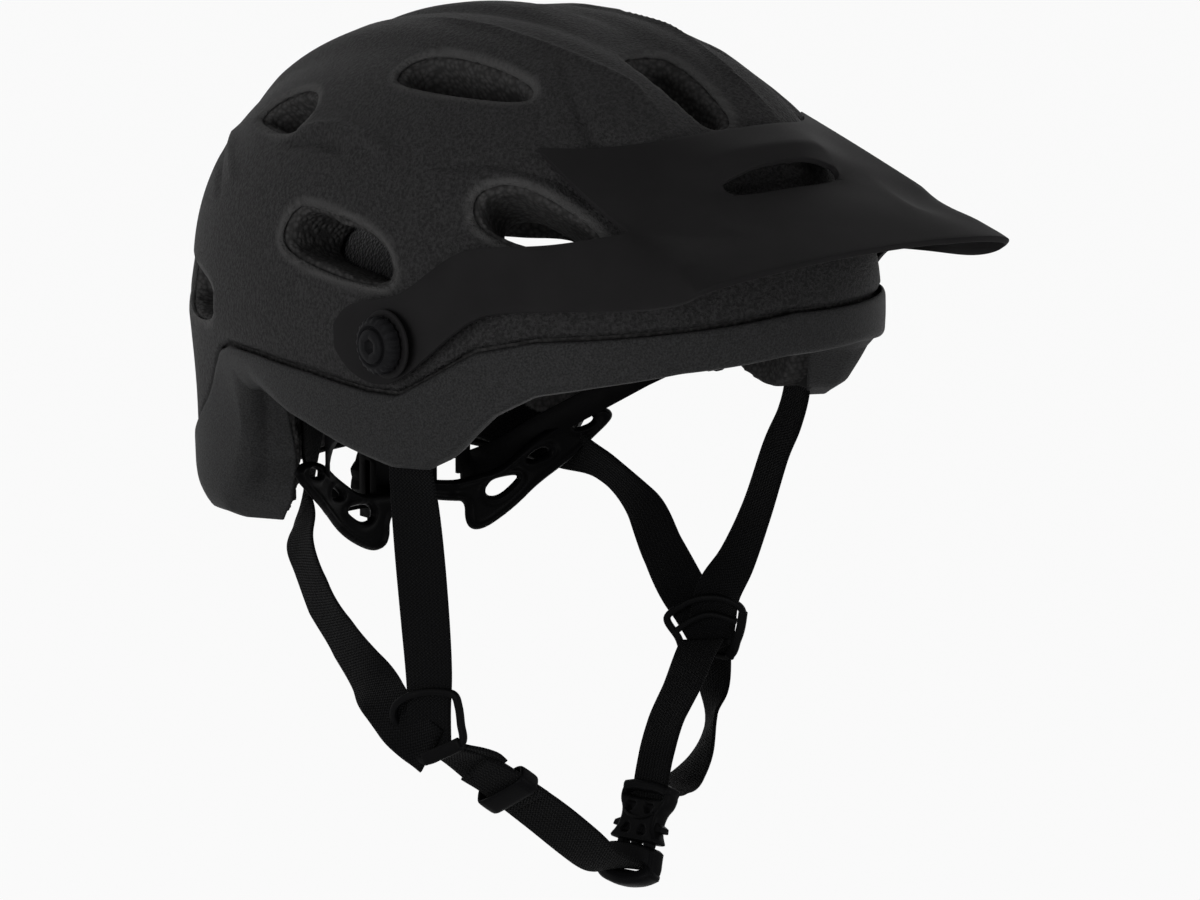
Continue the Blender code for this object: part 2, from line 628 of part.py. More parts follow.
def build_screws():
    """Thumb screws: knurled head, sunk ring, raised disc with a hexagon socket, and the shank."""
    head = PIVOT[0] + RUN_GAP
    socket = 0.0025
    profile = (
        (SHANK_RADIUS, -SHANK_LENGTH),
        (SCREW_RADIUS - 0.0004, 0.0), (SCREW_RADIUS, 0.0045), (SCREW_RADIUS - 0.0022, SCREW_HEIGHT - 0.0008),
        (SCREW_RADIUS - 0.0036, SCREW_HEIGHT - 0.0016), (SCREW_RADIUS - 0.0044, SCREW_HEIGHT),
        (socket, SCREW_HEIGHT), (socket, SCREW_HEIGHT - 0.0026),
    )
    for side, word in ((-1, "right"), (1, "left")):
        centre = (side * head, PIVOT[1], PIVOT[2])
        full = (profile[0], (SHANK_RADIUS, -0.00001), *profile[1:])
        screw = turned(centre, (side, 0, 0), full, 36, lambda r, a, row: screw_shape(r, a, row - 1))
        add_object(f"visor_screw_{word}", screw, "screw", (side * head, PIVOT[1], PIVOT[2]))
        bore = SHANK_RADIUS + 0.00008
        inner = INSERT_END - INSERT_LENGTH
        rings = ((bore, inner), (INSERT_RADIUS, inner), (INSERT_RADIUS, inner + INSERT_LENGTH),
                 (bore, inner + INSERT_LENGTH))
        base = Vector((0, PIVOT[1], PIVOT[2]))
        add_object(f"visor_insert_{word}", ring_solid(base, (side, 0, 0), rings, 20), "insert")


def ring_solid(centre, axis, section, count):
    """Revolves a closed section of (radius, along) points."""
    axis = Vector(axis).normalized()
    side = axis.orthogonal().normalized()
    up = axis.cross(side)
    columns = []
    for step in range(count):
        angle = 2 * math.pi * step / count
        way = side * math.cos(angle) + up * math.sin(angle)
        columns.append([Vector(centre) + axis * along + way * radius for radius, along in section])
    return loft(columns, closed_loop=True)


# ---------------------------------------------------------------- ribbons


def curve_points(route, step):
    """Catmull-Rom through the route's points and headings, about one step apart."""
    points = [np.array(row, float) * (MM, MM, MM, 1.0) for row in route]
    points = [2 * points[0] - points[1], *points, 2 * points[-1] - points[-2]]
    found = []
    for a, b, c, d in zip(points, points[1:], points[2:], points[3:]):
        parts = max(2, round(float(np.linalg.norm((c - b)[:3])) / step))
        for index in range(parts):
            t = index / parts
            found.append(0.5 * (2 * b + (c - a) * t + (2 * a - 5 * b + 4 * c - d) * t**2
                                + (3 * b - a - 3 * c + d) * t**3))
    found.append(points[-2])
    return np.array(found)


def ribbon_rings(route, width, thickness, step=RIBBON_STEP, shift=0.0):
    samples = curve_points(route, step)
    centres = samples[:, :3]
    tangents = np.gradient(centres, axis=0)
    rings = []
    for centre, tangent, heading in zip(centres, tangents, samples[:, 3]):
        along = Vector(tangent).normalized()
        angle = math.radians(heading)
        wide = Vector((math.sin(angle), -math.cos(angle), 0.0))
        wide = (wide - along * wide.dot(along)).normalized() * (width / 2)
        thin = wide.cross(along).normalized() * (thickness / 2)
        middle = Vector(centre) + thin.normalized() * shift
        rings.append([middle + wide + thin, middle - wide + thin, middle - wide - thin, middle + wide - thin])
    return rings


def build_straps():
    for name, route in STRAP_ROUTES.items():
        add_object(name, loft(ribbon_rings(route, WEB_WIDTH, WEB_THICKNESS)), "web")
    for name, route in LOOP_ROUTES.items():
        add_object(name, loft(ribbon_rings(route, WEB_WIDTH, WEB_THICKNESS)), "web")
    add_object("chin_strap", loft(ribbon_rings(CHIN_ROUTE, WEB_WIDTH, 2 * WEB_THICKNESS)), "web")


# ---------------------------------------------------------------- strap hardware


def frame_axes(normal, up):
    """Unit across, up and normal vectors of a small fitting."""
    normal = Vector(normal).normalized()
    across = Vector(up).cross(normal).normalized()
    return across, normal.cross(across).normalized(), normal


def plate_ring(centre, axes, outline, hole, near, far):
    """A plate with one window, both outlines in mm across and up, between two distances along the normal."""
    columns = []
    for (a, b), (c, d) in zip(outline, hole):
        column = []
        for across, up, out in ((a, b, near), (a, b, far), (c, d, far), (c, d, near)):
            column.append(centre + axes[0] * (across * MM) + axes[1] * (up * MM) + axes[2] * out)
        columns.append(column)
    return loft(columns, closed_loop=True)


def arc_outline(half_width, top, bottom, shoulder, count):
    """D-shaped outline in mm: an arched top over straight sides that draw in towards the bottom."""
    points = []
    for step in range(count):
        angle = math.pi * step / (count - 1)
        points.append((half_width * math.cos(angle), shoulder + (top - shoulder) * math.sin(angle)))
    points += [(-half_width * 0.80, bottom), (-half_width * 0.3, bottom - 1.0), (half_width * 0.3, bottom - 1.0),
               (half_width * 0.80, bottom)]
    return points


def build_divider(word, centre, normal, up, post_level):
    """Strap divider: a D-shaped face frame, and a bar behind the webs held by two posts."""
    axes = frame_axes(normal, up)
    centre = mm(*centre)
    stack = 2 * WEB_THICKNESS
    face = stack / 2 + 0.0011
    outer = arc_outline(DIVIDER_HALF, 11.5, -10.5, 3, 9)
    inner = arc_outline(DIVIDER_HALF - 2.6, 8.6, -6.8, 2, 9)
    frame = plate_ring(centre, axes, outer, inner, face, face + DIVIDER_THICKNESS)
    back = -face - DIVIDER_THICKNESS
    reach = (DIVIDER_HALF - 1.3) * MM
    parts = []
    for side, level in ((-1, post_level[0] * MM), (1, post_level[1] * MM)):
        place = centre + axes[0] * (side * reach) + axes[1] * level + axes[2] * ((face + back) / 2 + 0.0004)
        parts.append(block(place, (0.0024, 0.0034, face - back + 0.0008), axes))
    low = centre - axes[0] * reach + axes[1] * (post_level[0] * MM) + axes[2] * (back + 0.0008)
    high = centre + axes[0] * reach + axes[1] * (post_level[1] * MM) + axes[2] * (back + 0.0008)
    way = (high - low).normalized()
    bar_axes = (way, axes[2].cross(way), axes[2])
    parts.append(block((low + high) / 2, ((high - low).length + 0.0022, 0.0032, 0.0016), bar_axes))
    mesh = combined(frame, parts, "UNION")
    add_object(f"strap_divider_{word}", tidied(mesh), "buckle", tuple(centre))


def build_strap_hardware():
    build_divider("right", (-76.9, -34.1, -90), (-0.951, -0.309, 0), (0, 0, 1), (-8.5, 5.5))
    build_divider("left", (70.8, -15.2, -82.5), (0.990, -0.139, 0), (0, 0, 1), (6.5, -7.5))
    build_keeper()
    build_buckle()
    build_anchors()


def build_keeper():
    route = curve_points(CHIN_ROUTE, RIBBON_STEP)
    centre = Vector(route[KEEPER_SAMPLE, :3])
    along = Vector(route[KEEPER_SAMPLE + 1, :3] - route[KEEPER_SAMPLE - 1, :3]).normalized()
    angle = math.radians(route[KEEPER_SAMPLE, 3])
    wide = Vector((math.sin(angle), -math.cos(angle), 0.0))
    wide = (wide - along * wide.dot(along)).normalized()
    axes = (wide, along, wide.cross(along).normalized())
    hole = (WEB_WIDTH + 0.0012, 0.03, 2 * WEB_THICKNESS + 0.0010)
    outer = block(centre, (WEB_WIDTH + 0.0050, KEEPER_LENGTH, hole[2] + 0.0036), axes)
    keeper = combined(outer, [block(centre, hole, axes)], "DIFFERENCE")
    add_object("strap_keeper", tidied(keeper), "buckle", tuple(centre))


def buckle_axes():
    down = (mm(*BUCKLE_FOOT) - mm(*BUCKLE_TOP)).normalized()
    wide = Vector((0, -1, 0))
    wide = (wide - down * wide.dot(down)).normalized()
    return wide, -down, wide.cross(-down).normalized()


def outline_block(centre, axes, outline, near, far):
    rings = []
    for level in (near, far):
        rings.append([centre + axes[0] * (a * MM) + axes[1] * (b * MM) + axes[2] * level for a, b in outline])
    return loft(rings)


def build_buckle():
    """Side-release buckle: a socket on the left loop, and a plug with two sprung prongs on the chin strap."""
    axes = buckle_axes()
    top = mm(*BUCKLE_TOP)
    wide, up, out = axes
    depth = BUCKLE_DEPTH
    shell = ((-9, 0), (-12, -3), (-12, -8), (-10.6, -11), (-10.6, -17), (-12.4, -20), (12.4, -20), (10.6, -17),
             (10.6, -11), (12, -8), (12, -3), (9, 0))
    body = outline_block(top, axes, shell, -depth / 2, depth / 2)
    mouth = block(top + up * -0.0135, (0.0176, 0.0150, depth - 0.0030), axes)
    windows = [block(top + up * -0.0140 + wide * (side * 0.0113), (0.0058, 0.0066, depth - 0.0027), axes)
               for side in (-1, 1)]
    slot = [block(top + up * -0.0030, (WEB_WIDTH + 0.001, 0.0016, depth + 0.002), axes)]
    socket = combined(body, [mouth, *windows, *slot], "DIFFERENCE")
    add_object("buckle_socket", tidied(socket), "buckle", tuple(top))

    base = top + up * -0.0208
    yoke = ((-12.4, 0), (-12.4, -5), (-13.5, -9), (-11, -12.5), (11, -12.5), (13.5, -9), (12.4, -5), (12.4, 0))
    plug = outline_block(base, axes, yoke, -depth / 2, depth / 2)
    tongue = block(base + up * 0.0060, (0.0042, 0.0124, depth - 0.0042), axes)
    plug = combined(plug, [tongue], "UNION")
    slot = block(base + up * -0.0085, (WEB_WIDTH + 0.0014, 0.0036, depth + 0.002), axes)
    roots = [block(base + wide * (side * 0.0064) + up * -0.0010, (0.0040, 0.0044, depth - 0.0026), axes)
             for side in (-1, 1)]
    plug = combined(plug, [slot, *roots], "DIFFERENCE")
    add_object("buckle_plug", tidied(plug), "buckle", tuple(base))
    for side, word in ((-1, "rear"), (1, "front")):
        shape = ((4.9, -2.6), (7.9, -2.6), (8.2, 4), (8.2, 5.0), (12.6, 5.2), (12.2, 7.2), (7.9, 9.0), (7.6, 11.6), (6.4, 11.6),
                 (5.4, 3))
        outline = [(side * a, b) for a, b in (shape if side > 0 else shape[::-1])]
        prong = outline_block(base, axes, outline, -depth / 2 + 0.0018, depth / 2 - 0.0018)
        root = base + wide * (side * 0.0064) + up * -0.0020
        add_object(f"buckle_prong_{word}", prong, "buckle", tuple(root))


def anchor_axes(name):
    """Centre and directions of the web at its upper end."""
    samples = curve_points(STRAP_ROUTES[name][:3], 0.004)
    centre = Vector(samples[ANCHOR_SAMPLE, :3])
    along = Vector(samples[ANCHOR_SAMPLE + 1, :3] - samples[ANCHOR_SAMPLE - 1, :3]).normalized()
    angle = math.radians(samples[ANCHOR_SAMPLE, 3])
    wide = Vector((math.sin(angle), -math.cos(angle), 0.0))
    wide = (wide - along * wide.dot(along)).normalized()
    return centre, (wide, along, wide.cross(along).normalized())


def build_anchors():
    """Slotted plates that hold the upper ends of the webs, at the foam's underside and on its rear wall."""
    for name in STRAP_ROUTES:
        centre, axes = anchor_axes(name)
        body = block(centre, ANCHOR_SIZE, axes)
        slot = block(centre, (WEB_WIDTH + 0.0012, 0.0300, WEB_THICKNESS + 0.0010), axes)
        anchor = combined(body, [slot], "DIFFERENCE")
        add_object(name.replace("strap", "anchor"), tidied(anchor), "fit")


def anchor_pockets():
    """Pockets for the front anchors, and the slots above them for the webs."""
    tools = []
    for name in ("front_strap_right", "front_strap_left"):
        centre, axes = anchor_axes(name)
        pocket = (ANCHOR_SIZE[0] + 0.0008, 0.0300, ANCHOR_SIZE[2] + 0.0008)
        tools.append(block(centre + axes[1] * (0.0150 - ANCHOR_SIZE[1] / 2 - RUN_GAP), pocket, axes))
        slot = (WEB_WIDTH + 0.0016, 0.0300, WEB_THICKNESS + 0.0016)
        tools.append(block(centre, slot, axes))
    return tools


# ---------------------------------------------------------------- head fit


def band_rings(route, height, thickness, tilt=0.0):
    """Band standing on edge along a route of (x, y, z); its height is near vertical."""
    samples = curve_points([(*row, 0.0) for row in route], 0.009)[:, :3]
    tangents = np.gradient(samples, axis=0)
    rings = []
    for centre, tangent in zip(samples, tangents):
        along = Vector(tangent).normalized()
        up = Vector((0, 0, 1))
        up = (up - along * up.dot(along)).normalized()
        thin = up.cross(along).normalized() * (thickness / 2)
        up = up * (height / 2)
        middle = Vector(centre)
        rings.append([middle + up + thin, middle - up + thin, middle - up - thin, middle + up - thin])
    return rings


def rim_bar(route, width, thickness):
    """Flat bar along a route, its thickness pointing away from the head's axis."""
    samples = curve_points([(*row, 0.0) for row in route], 0.007)[:, :3]
    tangents = np.gradient(samples, axis=0)
    rings = []
    for centre, tangent in zip(samples, tangents):
        along = Vector(tangent).normalized()
        out = Vector((centre[0], centre[1], 0.0)).normalized()
        wide = along.cross(out).normalized() * (width / 2)
        thin = wide.cross(along).normalized() * (thickness / 2)
        middle = Vector(centre)
        rings.append([middle + wide + thin, middle - wide + thin, middle - wide - thin, middle + wide - thin])
    return rings


def build_arms():
    """Side arms: an eye on the temple pin, a band back round the head, and a straight rack in the housing."""
    for side, word in ((-1, "right"), (1, "left")):
        rack_z = HOUSING_PLACE[2] / MM + side * RACK_LEVEL / MM
        route = [(side * x, y, z) for x, y, z in ARM_ROUTE]
        band = loft(band_rings(route, ARM_HEIGHT, BAND_THICKNESS))
        rack_start = ARM_ROUTE[-1][0] * MM
        rack_centre = (side * (rack_start - RACK_REACH) / 2, HOUSING_PLACE[1], rack_z * MM)
        rack = block(rack_centre, (rack_start + RACK_REACH, BAND_THICKNESS, RACK_HEIGHT))
        eye_place = (side * ARM_ROUTE[0][0] * MM, PIN_PLACE[1], PIN_PLACE[2])
        half = BAND_THICKNESS / 2 + 0.0004
        eye = turned(eye_place, (side, 0, 0), ((0.0075, -half), (0.0075, half)), 20)
        link_z = (rack_z * MM + ARM_ROUTE[-1][2] * MM) / 2
        link_height = abs(rack_z * MM - ARM_ROUTE[-1][2] * MM) + RACK_HEIGHT
        link = block((side * (rack_start + 0.001), HOUSING_PLACE[1], link_z),
                     (0.006, BAND_THICKNESS, link_height))
        arm = combined(band, [rack, eye, link], "UNION")
        bore = turned(eye_place, (side, 0, 0), ((PIN_RADIUS + 0.0001, -0.01), (PIN_RADIUS + 0.0001, 0.01)), 20)
        arm = combined(arm, [bore], "DIFFERENCE")
        add_object(f"fit_arm_{word}", tidied(arm), "fit")
        build_pin(side, word)


def build_pin(side, word):
    """Temple pin: a flange on the foam wall and a plain pin that the arm's eye turns and slides on."""
    start = side * PIN_START
    profile = ((0.0080, 0.0), (0.0080, -0.0016), (PIN_RADIUS, -0.0018), (PIN_RADIUS, -PIN_LENGTH),
               (PIN_RADIUS - 0.0006, -PIN_LENGTH - 0.0006))
    pin = turned((start, PIN_PLACE[1], PIN_PLACE[2]), (side, 0, 0), profile, 20)
    add_object(f"fit_pin_{word}", pin, "fit")


def build_cradle():
    """Rear cradle: dial housing with a tunnel for the racks, two lower lobes and a hanger strip."""
    place = Vector(HOUSING_PLACE)
    housing = block(place, HOUSING)
    tunnel = (HOUSING[0] + 0.01, BAND_THICKNESS + 2 * TUNNEL_CLEARANCE, 2 * RACK_LEVEL + RACK_HEIGHT + 0.0012)
    bore = turned((0, HOUSING_PLACE[1] - 0.0030, HOUSING_PLACE[2]), (0, 1, 0),
                  ((PINION_RADIUS + 0.0004, 0.0), (PINION_RADIUS + 0.0004, 0.03)), 20)
    body = combined(housing, [block(place, tunnel), bore], "DIFFERENCE")
    lobes = [loft(rim_bar([(side * x, y, z) for x, y, z in LOBE_ROUTE], LOBE_WIDTH, 0.0026)) for side in (-1, 1)]
    hanger = loft(ribbon_rings(HANGER_ROUTE, 0.0160, 0.0018))
    body = combined(body, [*lobes, hanger], "UNION")
    add_object("fit_cradle", tidied(body), "fit", (0.0, PIN_PLACE[1], PIN_PLACE[2]))


def build_dial():
    back = HOUSING_PLACE[1] + HOUSING[1] / 2 + 0.0004
    profile = ((PINION_RADIUS, -HOUSING[1] / 2 - 0.0028), (PINION_RADIUS, 0.0), (DIAL_RADIUS, 0.0),
               (DIAL_RADIUS, DIAL_DEPTH - 0.0015), (DIAL_RADIUS - 0.0020, DIAL_DEPTH))
    shape = lambda radius, angle, row: radius + (0.0007 * math.cos(12 * angle) if row in (2, 3) else 0.0)
    dial = turned((0, back, HOUSING_PLACE[2]), (0, 1, 0), profile, 48, shape)
    add_object("fit_dial", dial, "dial", (0.0, back, HOUSING_PLACE[2]))


def build_guide():
    """Height guide on the foam's rear wall: a block with a tall slot for the hanger strip."""
    place = (0, GUIDE_Y, GUIDE_Z)
    body = block(place, (0.0260, 0.0170, 0.0090))
    slot = block((0, GUIDE_Y - 0.0005, GUIDE_Z), (0.0175, 0.0110, 0.03))
    guide = combined(body, [slot], "DIFFERENCE")
    add_object("fit_guide", tidied(guide), "fit")


def build_pads():
    """Soft pads on the cavity wall, with crowned faces and drawn-in sides."""
    for name, (low_angle, high_angle, low_tilt, high_tilt, thick) in PADS.items():
        columns, rows = 7, 5
        angles = np.radians(np.linspace(low_angle, high_angle, columns))[None, :]
        tilts = np.radians(np.linspace(low_tilt, high_tilt, rows))[:, None]
        across = np.linspace(-1, 1, columns)[None, :]
        down = np.linspace(-1, 1, rows)[:, None]
        crown = (1 - across**4) ** 0.5 * (1 - down**4) ** 0.5
        back = surface(cavity_dome, angles, tilts + 0 * angles, -PAD_GAP, raised=False)
        face = surface(cavity_dome, angles, tilts + 0 * angles, -PAD_GAP - 0.0012, raised=False)
        inward = surface(cavity_dome, angles, tilts + 0 * angles, -PAD_GAP - thick, raised=False)
        face = face + (inward - face) * crown[..., None]
        add_object(name, slab(back, face), "pad")


def slab(back, face):
    """Closed solid between two grids of points of the same size."""
    rows, columns = back.shape[:2]
    verts = [*back.reshape(-1, 3), *face.reshape(-1, 3)]
    offset = rows * columns
    faces = []
    for row in range(rows - 1):
        for col in range(columns - 1):
            quad = [row * columns + col, row * columns + col + 1, (row + 1) * columns + col + 1,
                    (row + 1) * columns + col]
            faces.append(quad)
            faces.append([value + offset for value in quad[::-1]])
    edge = [col for col in range(columns)]
    edge += [row * columns + columns - 1 for row in range(1, rows)]
    edge += [(rows - 1) * columns + col for col in range(columns - 2, -1, -1)]
    edge += [row * columns for row in range(rows - 2, 0, -1)]
    for here, after in zip(edge, edge[1:] + edge[:1]):
        faces.append([here, after, after + offset, here + offset])
    return mesh_from(verts, faces)


def main():
    clear_scene()
    build_upper_shell()
    build_lower_shell()
    build_liner()
    build_visor()
    build_screws()
    build_straps()
    build_strap_hardware()
    build_arms()
    build_cradle()
    build_dial()
    build_guide()
    build_pads()


main()
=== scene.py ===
import json
import math

import bmesh
import bpy
import numpy as np
from mathutils import Matrix, Vector


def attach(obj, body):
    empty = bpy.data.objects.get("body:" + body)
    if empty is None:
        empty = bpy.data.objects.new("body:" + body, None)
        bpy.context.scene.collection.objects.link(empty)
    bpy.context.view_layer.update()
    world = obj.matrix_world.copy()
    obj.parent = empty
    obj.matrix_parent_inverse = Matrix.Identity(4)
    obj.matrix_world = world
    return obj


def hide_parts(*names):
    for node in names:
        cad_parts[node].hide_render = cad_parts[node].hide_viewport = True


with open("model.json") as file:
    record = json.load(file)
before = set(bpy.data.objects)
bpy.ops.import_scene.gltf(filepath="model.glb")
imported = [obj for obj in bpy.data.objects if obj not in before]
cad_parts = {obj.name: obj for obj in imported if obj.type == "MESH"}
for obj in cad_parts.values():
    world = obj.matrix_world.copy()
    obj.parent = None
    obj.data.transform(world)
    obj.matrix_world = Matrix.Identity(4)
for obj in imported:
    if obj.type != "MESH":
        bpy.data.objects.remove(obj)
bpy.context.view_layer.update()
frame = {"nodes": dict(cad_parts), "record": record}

nodes = frame["nodes"]
mm = 0.001


def unit(vectors):
    return vectors / np.linalg.norm(vectors, axis=-1, keepdims=True)


def eased(share):
    # smooth step between 0 and 1
    return share**2 * (3 - 2 * share)


def camelName(node):
    first, *rest = node.split("_")
    return first + "".join(word.title() for word in rest)


def meshFromArrays(name, points, faces):
    # verts and equal-sided faces as whole arrays
    points = np.asarray(points, float).reshape(-1, 3)
    faces = np.asarray(faces, int)
    mesh = bpy.data.meshes.new(name)
    mesh.vertices.add(len(points))
    mesh.vertices.foreach_set("co", points.ravel())
    sides = faces.shape[1]
    mesh.loops.add(faces.size)
    mesh.loops.foreach_set("vertex_index", faces.ravel())
    mesh.polygons.add(len(faces))
    mesh.polygons.foreach_set("loop_start", np.arange(len(faces)) * sides)
    mesh.polygons.foreach_set("use_smooth", np.ones(len(faces), bool))
    mesh.update(calc_edges=True)
    mesh.validate()
    return mesh


def gridFaces(rows, cols, closed=False):
    # quads of a rows x cols grid, read row by row; closed joins the last column to the first
    here = np.arange(rows * cols).reshape(rows, cols)
    after = np.roll(here, -1, 1)
    if not closed:
        here, after = here[:, :-1], after[:, :-1]
    return np.stack([here[:-1], after[:-1], after[1:], here[1:]], -1).reshape(-1, 4)


def coordinates(mesh):
    found = np.empty(len(mesh.vertices) * 3)
    mesh.vertices.foreach_get("co", found)
    return found.reshape(-1, 3)


def placed(name, data):
    # a new object in the scene
    thing = bpy.data.objects.new(name, data)
    bpy.context.scene.collection.objects.link(thing)
    return thing


def addPiece(name, mesh, body, slot, replaced=()):
    piece = placed(name, mesh)
    mesh.materials.clear()
    mesh.materials.append(finishes[slot])
    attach(piece, body)
    if replaced:
        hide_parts(*replaced)
    return piece


def reworked(mesh, *steps):
    # edits a mesh in place; each step is a function of its bmesh
    work = bmesh.new()
    work.from_mesh(mesh)
    for step in steps:
        step(work)
    work.to_mesh(mesh)
    work.free()
    return mesh


def merged(distance):
    return lambda work: bmesh.ops.remove_doubles(work, verts=work.verts, dist=distance)


def facedOut(work):
    bmesh.ops.recalc_face_normals(work, faces=work.faces)


def holesFilled(work):
    bmesh.ops.holes_fill(work, edges=[edge for edge in work.edges if edge.is_boundary])


def outwards(mesh, merge=1e-6):
    # merges doubles and turns the faces of a closed mesh outwards
    return reworked(mesh, merged(merge),
                    lambda work: bmesh.ops.dissolve_degenerate(work, edges=work.edges, dist=1e-7), facedOut)


def applied(name, mesh, *modifiers):
    # runs modifiers on a mesh through a throwaway object and returns the result
    holder = placed(name, mesh)
    for kind, settings in modifiers:
        step = holder.modifiers.new(kind.title(), kind)
        for key, value in settings.items():
            setattr(step, key, value)
    graph = bpy.context.evaluated_depsgraph_get()
    result = bpy.data.meshes.new_from_object(holder.evaluated_get(graph))
    bpy.data.objects.remove(holder)
    result.name = name
    return result


def walled(piece, thickness):
    wall = piece.modifiers.new("Wall", "SOLIDIFY")
    wall.thickness = thickness
    wall.offset = -1


def bevelled(piece, width, angle, segments=2, harden=True):
    edge = piece.modifiers.new("Edge", "BEVEL")
    edge.width = width
    edge.segments = segments
    edge.limit_method = "ANGLE"
    edge.angle_limit = math.radians(angle)
    edge.harden_normals = harden


def mathNode(tree, kind, *values, clamp=False):
    # each value is a number or another node's output
    node = tree.nodes.new("ShaderNodeMath")
    node.operation = kind
    node.use_clamp = clamp
    for socket, value in zip(node.inputs, values):
        if isinstance(value, (int, float)):
            socket.default_value = value
        else:
            tree.links.new(value, socket)
    return node.outputs["Value"]


def newMaterial(name, colour, rough, specular):
    material = bpy.data.materials.new(name)
    material.use_nodes = True
    tree = material.node_tree
    shader = tree.nodes["Principled BSDF"]
    shader.inputs["Base Color"].default_value = (*colour, 1)
    shader.inputs["Roughness"].default_value = rough
    shader.inputs["Specular IOR Level"].default_value = specular
    return material, tree, shader


def objectNoise(tree, size, detail=2.0, roughness=0.5, kind="ShaderNodeTexNoise"):
    # a noise or cell pattern in Object coordinates, size in metres
    place = tree.nodes.new("ShaderNodeTexCoord")
    pattern = tree.nodes.new(kind)
    pattern.inputs["Scale"].default_value = 1 / size
    if kind == "ShaderNodeTexNoise":
        pattern.inputs["Detail"].default_value = detail
        pattern.inputs["Roughness"].default_value = roughness
    tree.links.new(place.outputs["Object"], pattern.inputs["Vector"])
    return pattern


def ramped(tree, value, low, high, first, second):
    ramp = tree.nodes.new("ShaderNodeMapRange")
    for key, number in (("From Min", low), ("From Max", high), ("To Min", first), ("To Max", second)):
        ramp.inputs[key].default_value = number
    tree.links.new(value, ramp.inputs["Value"])
    return ramp.outputs["Result"]


def bumped(tree, shader, height, distance, strength=1.0, before=None):
    bump = tree.nodes.new("ShaderNodeBump")
    bump.inputs["Distance"].default_value = distance
    bump.inputs["Strength"].default_value = strength
    tree.links.new(height, bump.inputs["Height"])
    if before:
        tree.links.new(before.outputs["Normal"], bump.inputs["Normal"])
    tree.links.new(bump.outputs["Normal"], shader.inputs["Normal"])
    return bump


def tinted(tree, shader, value, dark, pale):
    # base colour from dark to pale; without dark it starts from what already feeds the shader
    mix = tree.nodes.new("ShaderNodeMix")
    mix.data_type = "RGBA"
    if dark:
        mix.inputs["A"].default_value = (*dark, 1)
    else:
        tree.links.new(shader.inputs["Base Color"].links[0].from_socket, mix.inputs["A"])
    mix.inputs["B"].default_value = (*pale, 1)
    tree.links.new(value, mix.inputs["Factor"])
    tree.links.new(mix.outputs["Result"], shader.inputs["Base Color"])


def shaded(tree, shader, value, colour, low, high):
    # the colour times low to the colour times high
    tinted(tree, shader, value, [c * low for c in colour], [c * high for c in colour])


def plastic(name, colour, rough, grain, depth, spread=0.15, roughSpread=0.06, cloudy=0.03):
    # moulded plastic: fine grain as bump, with slow cloudy changes of colour and roughness
    material, tree, shader = newMaterial(name, colour, rough, 0.02)
    fine = objectNoise(tree, grain, 3.0, 0.6)
    cloud = objectNoise(tree, cloudy, 2.0, 0.5)
    bumped(tree, shader, fine.outputs["Fac"], depth)
    shaded(tree, shader, ramped(tree, cloud.outputs["Fac"], 0.3, 0.7, 0, 1), colour, 1 - spread, 1 + spread)
    tree.links.new(ramped(tree, fine.outputs["Fac"], 0.3, 0.7, rough - roughSpread, rough + roughSpread),
                   shader.inputs["Roughness"])
    return material


def grainedShell(name, colour, rough, pebble, depth, edge=None):
    # textured shell: two sizes of pebble grain, with paler tops and darker pores; edge, when given, is the
    # colour of a painted highlight round the vents
    material, tree, shader = newMaterial(name, colour, rough, 0.04)
    coarse = objectNoise(tree, pebble, 2.0, 0.55)
    sand = objectNoise(tree, pebble * 0.42, 2.0, 0.6)
    grain = mathNode(tree, "ADD", ramped(tree, coarse.outputs["Fac"], 0.35, 0.65, 0, 1),
                     ramped(tree, sand.outputs["Fac"], 0.3, 0.7, 0, 0.6))
    bumped(tree, shader, grain, depth)
    shaded(tree, shader, ramped(tree, grain, 0.2, 1.4, 0, 1), colour, 0.60, 1.5)
    if edge:
        # the cut edge of the shell round each vent is painted paler: a painted highlight on the vent lips
        paintedHighlight = tree.nodes.new("ShaderNodeAttribute")
        paintedHighlight.attribute_name = "ventLipHighlight"
        tinted(tree, shader, paintedHighlight.outputs["Fac"], None, edge)
    return material


def beadFoam(name, colour):
    # expanded foam: cells 1.9 mm across pressed flat, dark in the joints between beads
    material, tree, shader = newMaterial(name, colour, 0.75, 0.04)
    cells = objectNoise(tree, 0.0019, kind="ShaderNodeTexVoronoi")
    skin = objectNoise(tree, 0.0007, 3.0, 0.6)
    dome = ramped(tree, cells.outputs["Distance"], 0.15, 0.75, 1, 0)
    bump = bumped(tree, shader, dome, 0.00045)
    bumped(tree, shader, skin.outputs["Fac"], 0.00015, 1.0, bump)
    shaded(tree, shader, dome, colour, 0.55, 1.15)
    return material


